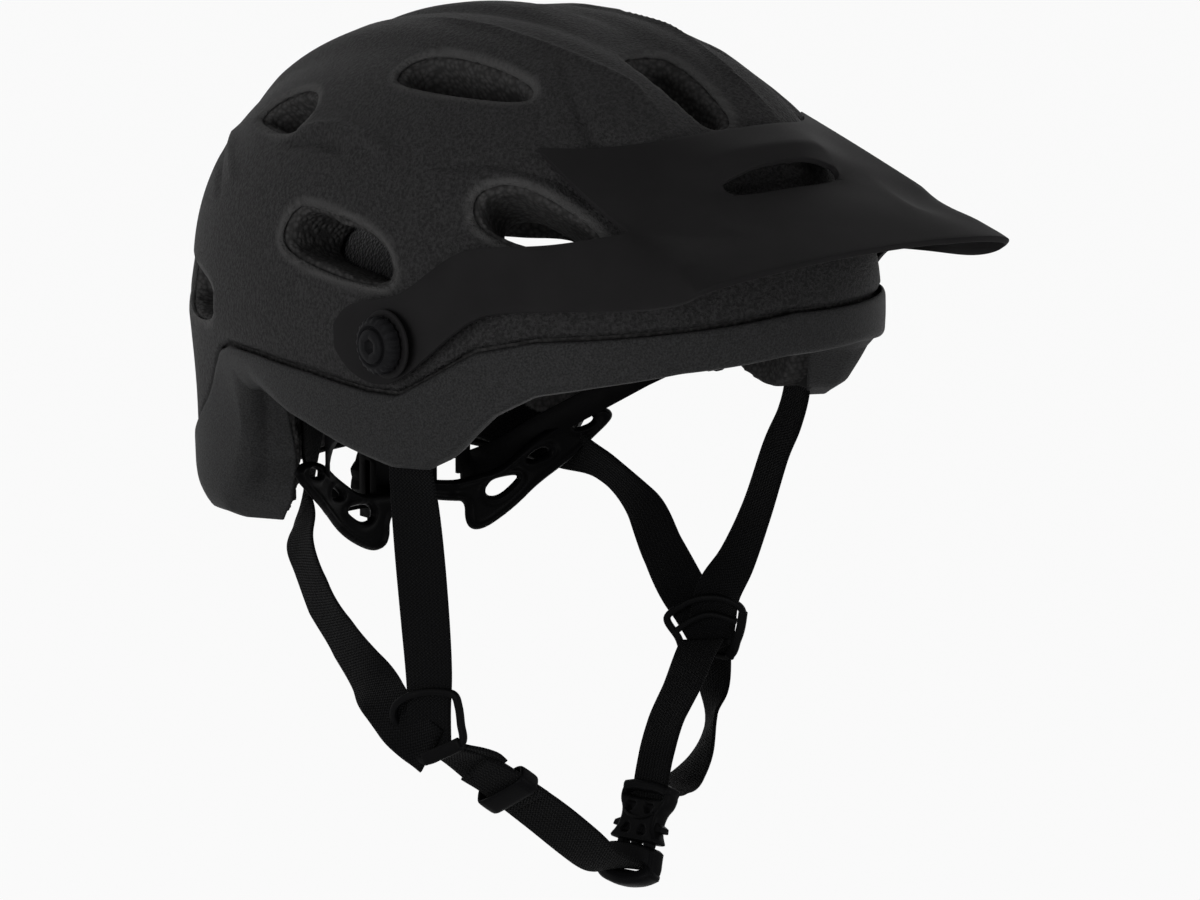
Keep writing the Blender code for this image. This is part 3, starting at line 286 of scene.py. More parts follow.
def webbingCloth(name, colour):
    # woven webbing on the strap's own map: ribs across it, split into columns of warp
    material, tree, shader = newMaterial(name, colour, 0.80, 0.04)
    uv = tree.nodes.new("ShaderNodeUVMap")
    uv.uv_map = "weave"
    apart = tree.nodes.new("ShaderNodeSeparateXYZ")
    tree.links.new(uv.outputs["UV"], apart.inputs["Vector"])

    def wave(source, period, shift=0.0):
        return mathNode(tree, "SINE", mathNode(tree, "MULTIPLY_ADD", source, 2 * math.pi / period, shift))

    warp = wave(apart.outputs["X"], 0.0015)
    shift = mathNode(tree, "MULTIPLY", mathNode(tree, "SIGN", warp), math.pi / 2)
    ribs = wave(apart.outputs["Y"], 0.0013, shift)
    both = mathNode(tree, "MULTIPLY_ADD", warp, 0.35, ribs)
    fuzz = objectNoise(tree, 0.0004, 2.0, 0.7)
    bump = bumped(tree, shader, both, 0.00022)
    bumped(tree, shader, fuzz.outputs["Fac"], 0.0001, 1.0, bump)
    shaded(tree, shader, ramped(tree, both, -1.1, 1.1, 0, 1), colour, 0.45, 1.5)
    shader.inputs["Sheen Weight"].default_value = 0.02
    shader.inputs["Sheen Roughness"].default_value = 0.5
    return material


def brushedKnit(name, colour):
    # pad fabric: short brushed pile over a knit of small cells
    material, tree, shader = newMaterial(name, colour, 0.9, 0.06)
    knit = objectNoise(tree, 0.0011, kind="ShaderNodeTexVoronoi")
    pile = objectNoise(tree, 0.00035, 2.0, 0.8)
    bump = bumped(tree, shader, knit.outputs["Distance"], 0.0004)
    bumped(tree, shader, pile.outputs["Fac"], 0.0002, 1.0, bump)
    shaded(tree, shader, pile.outputs["Fac"], colour, 0.5, 1.5)
    shader.inputs["Sheen Weight"].default_value = 0.4
    return material


# one finish for each material slot
finishes = {
    # sandedShell's last colour is the painted highlight round the vent lips
    "shell_gloss": grainedShell("sandedShell", (0.026, 0.0255, 0.026), 0.60, 0.0012, 0.00030,
                                (0.070, 0.069, 0.069)),
    "shell_matte": grainedShell("fineShell", (0.026, 0.026, 0.0265), 0.56, 0.00065, 0.00010),
    "visor": plastic("satinVisor", (0.0155, 0.015, 0.0155), 0.56, 0.0004, 0.00003),
    "screw": plastic("mattKnob", (0.012, 0.012, 0.013), 0.42, 0.0005, 0.00004),
    "insert": plastic("plainInsert", (0.02, 0.02, 0.02), 0.6, 0.0006, 0.00004),
    "foam": beadFoam("beadFoam", (0.050, 0.049, 0.049)),
    "web": webbingCloth("blackWebbing", (0.0028, 0.0028, 0.0031)),
    "divider": plastic("satinDivider", (0.0042, 0.0042, 0.0045), 0.42, 0.0006, 0.00004),
    "buckle": plastic("satinBuckle", (0.0042, 0.0042, 0.0046), 0.40, 0.0006, 0.00004),
    "fit": plastic("flexPlastic", (0.0016, 0.0016, 0.0018), 0.40, 0.0008, 0.00004),
    "dial": plastic("softGrip", (0.010, 0.010, 0.010), 0.62, 0.0005, 0.00008),
    "pad": brushedKnit("brushedPad", (0.010, 0.010, 0.011)),
}
print("finishes ready")


dome = {"crown": 0.1450, "wide": 0.047, "halfWidth": 0.1045, "front": 0.134, "rear": 0.1425}
hollow = {"crown": 0.117, "wide": 0.030, "halfWidth": 0.083, "front": 0.103, "rear": 0.108}
curve = {"plan": 2.15, "height": 2.18, "tuck": 0.9, "tuckFront": 1.6, "tuckEar": 0.085, "earPlace": 121,
         "earSpread": 19, "earDrop": 0.050, "flare": 0.020, "flareHeight": 0.056, "flareFade": 0.020,
         "flarePlace": 145, "flareSpread": 22, "upright": 125, "uprightFade": 20, "lean": 0.2, "drop": 0.1,
         "perMetre": 10}
# (degrees from the front, mm) of the rim and of the line between the two shells
rimLine = ((0, 46), (18, 44), (30, 40), (40, 36), (47, 28), (55, 12), (60, 7), (68, 6), (80, 10), (90, 14),
           (100, 17), (112, 18), (119, 14), (123, 3), (126, -14), (130.5, -29), (135.5, -38), (142, -39),
           (150, -33), (160, -29), (180, -28))
partingLine = ((0, 61), (18, 58.5), (40, 55), (50, 50), (58, 40), (65, 32), (72, 31.5), (88, 33.5),
               (106, 34), (118, 33), (124, 29), (129, 22), (136, 8), (146, -10), (154, -20), (165, -22),
               (180, -22))


def domePoints(angle, tilt, size=dome):
    # superellipse in plan and in height; past 90 degrees tilt counts 0.1 m of drop per radian and tucks in
    power, high = curve["plan"], 2 / curve["height"]
    ahead = np.cos(angle)
    reach = np.where(ahead > 0, size["front"], size["rear"])
    around, along = np.abs(np.sin(angle) / size["halfWidth"]), np.abs(ahead / reach)
    radius = (around**power + along**power) ** (-1 / power)
    upper = np.minimum(tilt, math.pi / 2)
    drop = np.maximum(tilt - math.pi / 2, 0) * curve["drop"]
    degrees = np.degrees(np.abs(angle))
    share = np.clip(drop / curve["earDrop"], 0, 1)
    upright = 1 - np.clip((degrees - curve["upright"]) / curve["uprightFade"], 0, 1)
    steep = curve["tuck"] + curve["tuckFront"] * np.clip(ahead, 0, 1) ** 2
    tuck = 1 - steep * 10 * drop**2 * upright - curve["lean"] * drop
    tuck = tuck - curve["tuckEar"] * np.exp(-(((degrees - curve["earPlace"]) / curve["earSpread"]) ** 2)) \
        * share**2 * (3 - 2 * share)
    reachOut = radius * np.sin(upper) ** high * tuck
    rise = size["wide"] + (size["crown"] - size["wide"]) * np.clip(np.cos(upper), 0, 1) ** high - drop
    if size is dome:
        # the shell steps out behind the ears
        step = np.clip((curve["flareHeight"] - rise) / curve["flareFade"], 0, 1)
        behind = np.exp(-(((degrees - curve["flarePlace"]) / curve["flareSpread"]) ** 2))
        reachOut = reachOut * (1 + curve["flare"] * step**2 * (3 - 2 * step) * behind)
    return np.stack([reachOut * np.sin(angle), -reachOut * ahead, rise], -1)


def domeNormals(angle, tilt, size=dome):
    # cross product of the two small steps round and down the dome
    step = 1e-3
    safe = np.maximum(tilt, 2e-2)
    roundWay = domePoints(angle + step, safe, size) - domePoints(angle - step, safe, size)
    downWay = domePoints(angle, safe + step, size) - domePoints(angle, safe - step, size)
    normal = unit(np.cross(downWay, roundWay))
    return normal * np.where((normal * domePoints(angle, safe, size)).sum(-1, keepdims=True) < 0, -1, 1)


def tiltAt(line, angle, size=dome):
    # dome angle of a drawn line of heights
    height = np.interp(np.degrees(np.abs(angle)), [row[0] for row in line], [row[1] for row in line]) * mm
    share = np.clip((height - size["wide"]) / (size["crown"] - size["wide"]), 0, 1) ** (curve["height"] / 2)
    below = math.pi / 2 + (size["wide"] - height) * curve["perMetre"]
    return np.where(height > size["wide"], np.arccos(share), below)


# azimuth and dome angle of each vent's centre, then its outline in mm, across (forwards) and up
vents = {
    "topRear": (124, 48, ((-23, -3), (-5, 9), (10, 11), (20, 2), (15, -10), (-18, -9))),
    "topSide": (66.5, 31.3, ((-30, 3), (-26, 15), (0, 12), (33, 3), (30, -6), (4, -9), (-24, -5))),
    "topFront": (0, 33, ((-8, 24), (8, 24), (10, 14), (9, -8), (6.5, -24), (-6.5, -24), (-9, -8), (-10, 14))),
    "brow": (42, 63, ((-20, 2), (-17, 10), (-2, 12), (29, -5), (24, -11), (4, -14), (-15, -6))),
    "side": (83, 73.5, ((-31, 0), (-26, 11), (-16, 12), (12, 9), (27, 2), (32, -10), (8, -11), (-24, -6))),
    "rearSide": (138, 91, ((-27, 1), (-20, 9), (14, 9), (30, 6), (31, -5), (12, -10), (-20, -9))),
}
ventStyle = {"lip": 0.0011, "lipReach": 0.0020, "foamStep": 0.0026, "depth": 0.060, "draft": 0.80,
             "proud": 0.02, "far": 0.030, "search": 0.055}
reliefStyle = {"spine": 0.0046, "spineHalf": 0.010, "spineFront": 0.045, "ridge": 0.0034,
               "ridgePlace": 0.0275, "ridgeHalf": 0.0155, "foot": 0.085, "fade": 0.030}


def relief(points):
    # height of the flat-topped spine behind the front vent and of the two ridges beside it, above the dome
    x, y, z = points[..., 0], points[..., 1], points[..., 2]
    style = reliefStyle
    fade = np.clip((z - style["foot"]) / style["fade"], 0, 1)
    front = np.clip((y + style["spineFront"]) / style["spineFront"], 0, 1)
    spine = style["spine"] * np.exp(-((x / style["spineHalf"]) ** 4)) * front
    ridge = style["ridge"] * np.exp(-(((np.abs(x) - style["ridgePlace"]) / style["ridgeHalf"]) ** 4))
    return (spine + ridge) * fade


def onDome(angle, tilt, lift=0.0, size=dome, raised=True):
    angle, tilt = np.broadcast_arrays(np.asarray(angle, float), np.asarray(tilt, float))
    points = domePoints(angle, tilt, size)
    height = np.broadcast_to(np.asarray(lift, float), angle.shape)
    if raised:
        height = height + relief(points)
    return points + domeNormals(angle, tilt, size) * height[..., None]


def ventFrame(degrees, tiltDegrees, side):
    # centre, across, up and out of a vent; side is 1 on the left and -1 on the right
    angle, tilt = math.radians(degrees) * side, math.radians(tiltDegrees)
    centre = onDome(angle, tilt)
    out = onDome(angle, tilt, 0.01) - centre
    out /= np.linalg.norm(out)
    across = np.cross((0, 0, 1), out)
    across *= -side / np.linalg.norm(across)
    return centre, across, np.cross(out, across) * -side, out


def cutCorners(outline, rounds):
    # each pass swaps every corner for two points a quarter of the way along its sides
    for _ in range(rounds):
        after = np.roll(outline, -1, 0)
        outline = np.stack([outline * 0.75 + after * 0.25, outline * 0.25 + after * 0.75], 1).reshape(-1, 2)
    return outline


def spread(outline, distance):
    # moves each point away from the outline's middle
    arm = outline - outline.mean(0)
    return outline + arm / np.linalg.norm(arm, axis=1, keepdims=True) * distance


def outlineDistance(places, outline):
    # distance from flat places to a closed outline, negative inside
    start, after = outline, np.roll(outline, -1, 0)
    side = after - start
    arm = places[:, None] - start
    share = np.clip((arm * side).sum(-1) / (side**2).sum(-1), 0, 1)
    distance = np.linalg.norm(arm - side * share[..., None], axis=-1).min(1)
    low, high = start[:, 1] > places[:, 1:2], after[:, 1] > places[:, 1:2]
    cross = start[:, 0] + (places[:, 1:2] - start[:, 1]) * side[:, 0] / (side[:, 1] + 1e-15)
    inside = ((low != high) & (places[:, 0:1] < cross)).sum(1) % 2 == 1
    return np.where(inside, -distance, distance)


ventShapes = []
for degrees, tiltDegrees, corners in vents.values():
    for side in (-1, 1) if degrees else (1,):
        ventShapes.append((ventFrame(degrees, tiltDegrees, side), cutCorners(np.array(corners) * mm, 3)))


def ventDistance(points):
    # distance to the nearest vent outline, negative inside it, capped
    flat = points.reshape(-1, 3)
    found = np.full(len(flat), ventStyle["far"])
    for (centre, across, up, out), outline in ventShapes:
        arm = flat - centre
        near = (np.linalg.norm(arm, axis=1) < ventStyle["search"]) & (flat @ out > 0)
        places = np.stack([arm[near] @ across, arm[near] @ up], -1)
        found[near] = np.minimum(found[near], outlineDistance(places, outline))
    return found.reshape(points.shape[:-1])


def cutGrid(angle, tilt):
    # drops the quads over vents and slides the edge verts onto the outlines by Newton steps in angle and tilt
    quads = gridFaces(*angle.shape, closed=True)
    kept = ventDistance(onDome(angle, tilt)).ravel()[quads].mean(1) > 0
    used, dropped = (np.bincount(quads[rows].ravel(), minlength=angle.size) for rows in (kept, ~kept))
    edge = (used > 0) & (dropped > 0)
    a, t = angle.ravel().copy(), tilt.ravel().copy()
    step = 2e-3
    for _ in range(5):
        here = ventDistance(onDome(a[edge], t[edge]))
        slopeA = (ventDistance(onDome(a[edge] + step, t[edge])) - here) / step
        slopeT = (ventDistance(onDome(a[edge], t[edge] + step)) - here) / step
        around = np.sin(np.clip(t[edge], 0.2, 1.6)) ** 2
        steep = slopeA**2 / around + slopeT**2 + 1e-9
        a[edge] -= 0.8 * here * slopeA / around / steep
        t[edge] -= 0.8 * here * slopeT / steep
    return a.reshape(angle.shape), t.reshape(tilt.shape), quads[kept]


def packed(points, faces):
    # leaves out verts that no face uses
    used, faces = np.unique(faces, return_inverse=True)
    return points.reshape(-1, 3)[used], faces.reshape(-1, 4)


def rolled(distance, radius, reach):
    # drop of a rounded edge: a quarter circle that starts at reach from the edge
    return -radius * (1 - np.sqrt(1 - np.clip(1 - distance / reach, 0, 1) ** 2))


# of these, the pair for the vent lips gives the reach and fade of a painted highlight round the vents
shellStyle = {"columns": 330, "upperRows": 92, "lowerRows": 34, "pole": 0.012, "length": 0.16, "wall": 0.0018,
              "lowerWall": 0.0016, "partingHalf": 0.00045, "partingRoll": 0.0009, "partingReach": 0.0016,
              "wear": 0.0034, "paintedLipFade": 0.0018, "lowerProud": 0.0015, "topRoll": 0.0012, "topReach": 0.0022,
              "rimRoll": 0.0022, "rimRollLobe": 0.0040, "rimReach": 0.0035, "rimReachLobe": 0.0095,
              "lobePlace": 95, "lobeFade": 18, "hem": 0.0068, "hemRows": 13, "hemClear": 0.0012,
              "hemShort": 0.004, "hemFront": 0.012, "hemFrontPlace": 62, "hemFrontFade": 14}
# each line runs through (azimuth, dome angle) places in degrees, right and left alike; depth and width in mm
shellLines = {
    "crownGroove": {"path": ((33, 26), (30, 40), (28, 52)), "depth": -2.2, "width": 1.5},
    "crownRidge": {"path": ((40, 26), (36, 40), (33, 52)), "depth": 0.9, "width": 3.0},
    "spineEdge": {"path": ((162, 30), (100, 14), (40, 20), (16, 34), (13, 50)), "depth": 1.7, "width": 1.9},
    "sideCrease": {"path": ((112, 52), (98, 49), (84, 50), (72, 54)), "depth": 2.6, "width": 2.2},
    "sideGroove": {"path": ((113, 56), (100, 53), (88, 54)), "depth": -2.2, "width": 1.6},
    "browRecess": {"path": ((62, 55), (50, 52), (36, 55), (28, 62)), "depth": -2.0, "width": 1.8},
    "rearGroove": {"path": ((150, 64), (138, 66), (128, 72)), "depth": -1.6, "width": 1.8},
    "rearCrease": {"path": ((152, 60), (138, 61), (124, 67)), "depth": 1.2, "width": 2.4},
}


def shapeLines(points):
    # sum of smooth ridges and grooves: each falls off as a squared exponential of the distance to its line
    flat = points.reshape(-1, 3)
    total = np.zeros(len(flat))
    for line in shellLines.values():
        for side in (-1, 1):
            path = np.array(line["path"], float)
            knots = onDome(np.radians(path[:, 0]) * side, np.radians(path[:, 1]))
            share = np.linspace(0, len(knots) - 1, 8 * (len(knots) - 1) + 1)
            dense = np.stack([np.interp(share, np.arange(len(knots)), knots[:, i]) for i in range(3)], -1)
            near = np.full(len(flat), np.inf)
            place = np.zeros(len(flat))
            for i, (start, after) in enumerate(zip(dense, dense[1:])):
                run = after - start
                part = np.clip(((flat - start) @ run) / (run @ run), 0, 1)
                distance = np.linalg.norm(flat - start - part[:, None] * run, axis=1)
                closer = distance < near
                near[closer] = distance[closer]
                place[closer] = (i + part[closer]) / (len(dense) - 1)
            fade = np.clip(np.minimum(place, 1 - place) * 6, 0, 1)
            total += line["depth"] * mm * fade * np.exp(-((near / (line["width"] * mm)) ** 2))
    return total.reshape(points.shape[:-1])


def makeUpperShell():
    style = shellStyle
    columns = np.linspace(-math.pi, math.pi, style["columns"], endpoint=False)
    end = tiltAt(partingLine, columns) - style["partingHalf"] * curve["perMetre"]
    share = np.linspace(0, 1, style["upperRows"])[:, None]
    tilt = style["pole"] + (end - style["pole"]) * share
    angle, tilt, quads = cutGrid(np.broadcast_to(columns, tilt.shape), tilt)
    flat = onDome(angle, tilt)
    lift = rolled(np.maximum(ventDistance(flat), 0), ventStyle["lip"], ventStyle["lipReach"])
    lift = lift + rolled((1 - share) * style["length"], style["partingRoll"], style["partingReach"])
    mesh = meshFromArrays("upperShellSkin", *packed(onDome(angle, tilt, lift + shapeLines(flat)), quads))

    def crowned(work):
        # a fan of triangles closes the top
        work.verts.ensure_lookup_table()
        ring = [work.verts[i] for i in range(style["columns"])]
        tip = work.verts.new(onDome(0.0, 0.0))
        for one, other in zip(ring, ring[1:] + ring[:1]):
            work.faces.new((one, tip, other)).smooth = True

    reworked(mesh, crowned, facedOut)
    if mesh.polygons[0].normal.z < 0:
        mesh.flip_normals()
    # a painted highlight: 1 on the vent lips, fading out a few mm from them
    paintedHighlight = mesh.attributes.new("ventLipHighlight", "FLOAT", "POINT")
    away = ventDistance(coordinates(mesh))
    paintedHighlight.data.foreach_set("value", np.clip((style["wear"] - away) / style["paintedLipFade"], 0, 1))
    shell = addPiece("upperShellSkin", mesh, "helmet", "shell_gloss", ["upper_shell"])
    walled(shell, style["wall"])


def makeLowerShell():
    style = shellStyle
    columns = np.linspace(-math.pi, math.pi, style["columns"], endpoint=False)
    degrees = np.degrees(np.abs(columns))
    start = tiltAt(partingLine, columns) + style["partingHalf"] * curve["perMetre"]
    end = tiltAt(rimLine, columns)
    share = np.linspace(0, 1, style["lowerRows"])[:, None]
    tilt = start + (end - start) * share
    angle = np.broadcast_to(columns, tilt.shape)
    reach = np.linalg.norm(onDome(columns, end) - onDome(columns, start), axis=-1)
    lobe = eased(np.clip((degrees - style["lobePlace"]) / style["lobeFade"], 0, 1))
    lift = style["lowerProud"] + rolled(share * reach, style["topRoll"], style["topReach"]) \
        + rolled((1 - share) * reach, style["rimRoll"] + style["rimRollLobe"] * lobe,
                 style["rimReach"] + style["rimReachLobe"] * lobe)
    outside = onDome(angle, tilt, lift, raised=False)
    hemStart = onDome(columns, end, lift[-1], raised=False)
    innerEnd = onDome(columns, tiltAt(rimLine, columns, hollow), 0.0, hollow, False)
    inwards = innerEnd - hemStart
    full = np.linalg.norm(inwards, axis=-1, keepdims=True)
    # the hem covers the foam's edge but for its last part under the lobes, and more of it in front
    ahead = np.clip((style["hemFrontPlace"] - degrees) / style["hemFrontFade"], 0, 1)
    wide = style["hem"] + (np.maximum(full[:, 0] - style["hemShort"], style["hem"]) - style["hem"]) * lobe \
        + style["hemFront"] * ahead
    share = np.linspace(0, 1, style["hemRows"])[1:, None, None]
    # and stands a little in front of that foam
    clear = unit(np.cross(np.roll(hemStart, -1, 0) - np.roll(hemStart, 1, 0), inwards))
    clear *= np.sign((clear * (hemStart - outside[-6])).sum(-1, keepdims=True))
    hem = hemStart + inwards / full * (share * wide[:, None]) \
        + clear * (style["hemClear"] * np.clip(share * 5, 0, 1))
    points = np.concatenate([outside, hem])
    mesh = meshFromArrays("lowerShellSkin", points, gridFaces(len(points), len(columns), True))
    if mesh.polygons[0].normal.dot(Vector(points[0, 0])) < 0:
        mesh.flip_normals()
    shell = addPiece("lowerShellSkin", mesh, "helmet", "shell_matte", ["lower_shell"])
    walled(shell, style["lowerWall"])


linerStyle = {"columns": 168, "rows": 60, "pole": 0.02, "recess": 0.034, "under": 0.0021, "underRim": 0.0008,
              "voxel": 0.0018, "smooth": 0.5, "rounds": 5}


def makeLiner():
    # closed foam body cut by drafted prisms through the vents, then remeshed so its edges come out soft
    style = linerStyle
    columns = np.linspace(-math.pi, math.pi, style["columns"], endpoint=False)
    share = np.linspace(0, 1, style["rows"])[:, None]
    # the foam's rim is the lowest dome angle within a degree of each column, so that it lies behind the hem
    near = np.radians((-1.1, -0.55, 0, 0.55, 1.1))[:, None]
    rims = [np.min([tiltAt(rimLine, columns + turn, size) for turn in near], 0) for size in (dome, hollow)]
    outerTilt, innerTilt = (style["pole"] + (rim - style["recess"]) * share for rim in rims)
    outside = onDome(columns, outerTilt, -style["under"] - style["underRim"] * share**8)
    inside = onDome(columns, innerTilt, 0.0, hollow, False)
    across = np.linspace(0, 1, 9)[1:-1, None, None]
    lip = outside[-1] + (inside[-1] - outside[-1]) * across
    points = np.concatenate([outside, lip, inside[::-1]])
    mesh = meshFromArrays("linerBody", points, gridFaces(len(points), len(columns), True))
    reworked(mesh, holesFilled, lambda work: bmesh.ops.triangulate(
        work, faces=[face for face in work.faces if len(face.verts) > 4]))
    outwards(mesh)
    cutters = []
    for (centre, across, up, out), outline in ventShapes:
        hole = spread(outline, -ventStyle["foamStep"])
        flat = hole[:, :1] * across + hole[:, 1:] * up
        rings = np.stack([centre + out * ventStyle["proud"] + flat, centre + flat,
                          centre - out * ventStyle["depth"] + flat * ventStyle["draft"]])
        tool = meshFromArrays("cutter", rings, gridFaces(3, len(hole), True))
        cutters.append(placed("cutter", reworked(tool, holesFilled, facedOut)))
    steps = [("BOOLEAN", {"object": cutter, "operation": "DIFFERENCE", "solver": "EXACT"})
             for cutter in cutters]
    steps.append(("REMESH", {"mode": "VOXEL", "voxel_size": style["voxel"], "use_smooth_shade": True}))
    steps.append(("SMOOTH", {"factor": style["smooth"], "iterations": style["rounds"]}))
    mesh = applied("foamLinerBody", mesh, *steps)
    for cutter in cutters:
        bpy.data.objects.remove(cutter)
    addPiece("foamLinerBody", mesh, "helmet", "foam", ["foam_liner"])


makeUpperShell()
print("upper shell done")
makeLowerShell()
makeLiner()
print("lower shell and liner done")


visorStyle = {"wall": 0.0022, "edge": 0.0007, "levels": 3}
# right half of the visor's cage in mm, from the hump back to the front edge
visorCage = {
    "c0": (0, -106.5, 119.6), "h0": (-18, -105.5, 119.4), "e0": (-32, -100, 117.2),
    "m0": (0, -122, 116), "m1": (-14, -121.5, 115.6), "m2": (-26, -118.5, 113.0),
    "c1": (0, -127.5, 111.5), "h1": (-14, -127.2, 110.6), "e1": (-25.5, -125.5, 105.8),
    "g1": (-45, -90.5, 115.6), "g2": (-53, -81.5, 114.8), "f0": (-60.2, -72.2, 114.8),
    "f1": (-65, -100, 104.0),
    "a0": (0, -131.5, 102.6), "a1": (-14, -131.2, 102.0), "a2": (-26.5, -129, 102.2),
    "a3": (-45, -115.5, 103.5),
    "f2": (-66.6, -126.5, 94.6),
    "b0": (0, -146, 98), "b1": (-18, -145, 97.7), "b2": (-40, -136, 97.2), "b3": (-51, -138, 92.6),
    "f3": (-68.5, -145, 89.5),
    "k0": (0, -160, 92.5), "k1": (-20, -159.5, 92.3), "k2": (-38, -155.5, 92.8), "k3": (-55, -156, 88.8),
    "f4": (-69.5, -156, 85.5),
    "d0": (0, -172, 88), "d1": (-22, -171.5, 87.6), "d2": (-40, -171, 86.4), "d3": (-57, -169, 84.8),
    "f5": (-70.5, -165, 82.0),
    "u0": (-107.3, -21, 53), "l0": (-107.3, -21.5, 45), "u1": (-107.0, -26, 60), "l1": (-107.0, -28, 38),
    "u2": (-105.8, -36, 63.5), "l2": (-105.8, -40, 34.5), "u3": (-103.4, -51, 66), "l3": (-104.0, -51, 36.5),
    "u4": (-99.8, -60, 74), "l4": (-100.8, -65, 49), "u5": (-94.8, -68, 81.5), "l5": (-97, -76, 59),
    "u6": (-92.3, -75, 85), "l6": (-94.3, -84.5, 64.5), "u7": (-87, -89, 87), "l7": (-89.8, -97, 66.5),
    "u8": (-80, -103, 88.2), "l8": (-83.5, -120, 69.8), "l9": (-76.5, -143, 72.5), "l10": (-72.8, -158, 76.5),
    "l11": (-71.5, -163, 79.5),
}
visorFaces = (
    "c0 h0 m1 m0", "h0 e0 m2 m1", "m0 m1 h1 c1", "m1 m2 e1 h1", "e0 g1 a3 m2", "m2 a3 a2 e1", "g1 g2 f1 a3",
    "g2 f0 f1", "a3 f1 f2", "a0 a1 b1 b0", "a1 a2 b2 b1", "a2 a3 b2", "a3 f2 b3 b2",
    "b0 b1 k1 k0", "b1 b2 k2 k1", "b2 b3 k2", "b3 f2 f3 k3", "b3 k3 k2",
    "k0 k1 d1 d0", "k1 k2 d2 d1", "k2 k3 d3 d2", "k3 f3 f4", "k3 f4 f5 d3",
    "f5 f4 l11", "f4 f3 l10 l11", "f3 f2 l9 l10", "f2 u8 l8 l9", "u8 u7 l7 l8", "u7 u6 l6 l7", "u6 u5 l5 l6",
    "u5 u4 l4 l5", "u4 u3 l3 l4", "u3 u2 l2 l3", "u2 u1 l1 l2", "u1 u0 l0 l1",
)
# edges that stay sharp, with how sharp
visorFolds = (("f0 f1 f2", 0.9), ("f2 b3 k2", 0.85), ("a3 b2 k2", 0.55), ("e0 g1 g2 f0", 0.8), ("u8 f2", 0.9),
              ("m0 m1 m2 e1 a2", 0.6), ("c1 h1 e1", 0.9), ("a0 a1 a2", 0.8), ("m2 a3", 0.25))


def makeVisor():
    # a half cage mirrored over the centre plane, rounded by subdivision and given its wall
    names = list(visorCage)
    half = np.array([visorCage[name] for name in names], float) * mm
    count = len(names)
    verts = np.concatenate([half, half * (-1, 1, 1)])
    faces = []
    for side in (0, 1):
        for row in visorFaces:
            loop = [names.index(name) + side * count for name in row.split()]
            faces.append(loop[::-1] if side else loop)
    mesh = bpy.data.meshes.new("visorShell")
    mesh.from_pydata(verts.tolist(), [], faces)
    creases = mesh.attributes.new("crease_edge", "FLOAT", "EDGE")
    folds = {}
    for row, sharp in visorFolds:
        loop = [names.index(name) for name in row.split()]
        folds.update({frozenset(pair): sharp for pair in zip(loop, loop[1:])})
    for edge in mesh.edges:
        creases.data[edge.index].value = folds.get(frozenset(v % count for v in edge.vertices), 0.0)
    reworked(mesh, merged(1e-6))
    mesh.shade_smooth()
    visor = addPiece("visorShell", mesh, "visor_body", "visor", ["visor"])
    smooth = visor.modifiers.new("Smooth", "SUBSURF")
    smooth.levels = smooth.render_levels = visorStyle["levels"]
    smooth.boundary_smooth = "PRESERVE_CORNERS"
    walled(visor, visorStyle["wall"])
    bevelled(visor, visorStyle["edge"], 50, 3, False)


def turnedMesh(name, centre, axis, profile, count, shape=None):
    # a profile of (radius, distance along the axis) carried round the axis; shape may change the radii
    axis = np.asarray(axis, float)
    side = np.cross(axis, (0, 0, 1)) if abs(axis[2]) < 0.9 else np.array((1.0, 0, 0))
    side = unit(side)
    other = np.cross(axis, side)
    profile = np.asarray(profile, float)
    turn = np.linspace(0, 2 * math.pi, count, endpoint=False)
    radius = np.broadcast_to(profile[:, :1], (len(profile), count)).copy()
    if shape is not None:
        radius = shape(radius, turn[None, :], np.arange(len(profile))[:, None])
    ring = np.cos(turn)[:, None] * side + np.sin(turn)[:, None] * other
    points = np.asarray(centre) + radius[..., None] * ring + profile[:, 1][:, None, None] * axis
    return outwards(meshFromArrays(name, points, gridFaces(len(profile), count, True)), 1e-5)


screwStyle = {"head": 0.1068, "seat": 0.1062, "knurls": 20, "knurlDepth": 0.00028, "socket": 1.08}


def thumbScrew(word, side):
    # knurled rim, sunk ring and a raised disc with a hexagon socket, on a seat
    style = screwStyle
    pivot = frame["record"]["behaviour"]["joints"][0]["pos_m"]
    profile = ((0, -0.0165), (0.0028, -0.0165), (0.0030, -0.0160), (0.0030, 0), (0.0088, 0), (0.0094, 0.0006),
               (0.0095, 0.0036), (0.0091, 0.0044), (0.0078, 0.0052), (0.0073, 0.0054), (0.0068, 0.0050),
               (0.0064, 0.0040), (0.0061, 0.0040), (0.0058, 0.0050), (0.0057, 0.0060), (0.0053, 0.0065),
               (0.0027, 0.0065), (0.0024, 0.0062), (0.0023, 0.0040), (0, 0.0040))

    def shape(radius, turn, row):
        wave = np.clip(np.cos(turn * style["knurls"]) * 1.6, -1, 1)
        knurl = wave * style["knurlDepth"] * ((row >= 5) & (row <= 7))
        wedge = (turn + math.pi / 6) % (math.pi / 3) - math.pi / 6
        hexagon = math.cos(math.pi / 6) / np.cos(wedge)
        return np.where(row >= 16, radius * hexagon * style["socket"], radius + knurl)

    head = (side * style["head"], *pivot[1:])
    mesh = turnedMesh(f"thumbScrew{word}", head, (side, 0, 0), profile, 160, shape)
    key = f"screw_{word.lower()}"
    addPiece(f"thumbScrew{word}", mesh, key, "screw", [f"visor_{key}"])
    seat = ((0.0038, -0.0008), (0.0116, -0.0008), (0.0116, 0.00005), (0.0112, 0.0003), (0.0104, 0.0003),
            (0.0101, 0.0001), (0.0038, 0.0001), (0.0038, -0.0008))
    mesh = turnedMesh(f"screwSeat{word}", (side * style["seat"], *pivot[1:]), (side, 0, 0), seat, 96)
    addPiece(f"screwSeat{word}", mesh, "visor_body", "visor")


makeVisor()
thumbScrew("Right", -1)
thumbScrew("Left", 1)
print("visor done")


strapStyle = {"width": 0.018, "thick": 0.0014, "step": 0.0016}
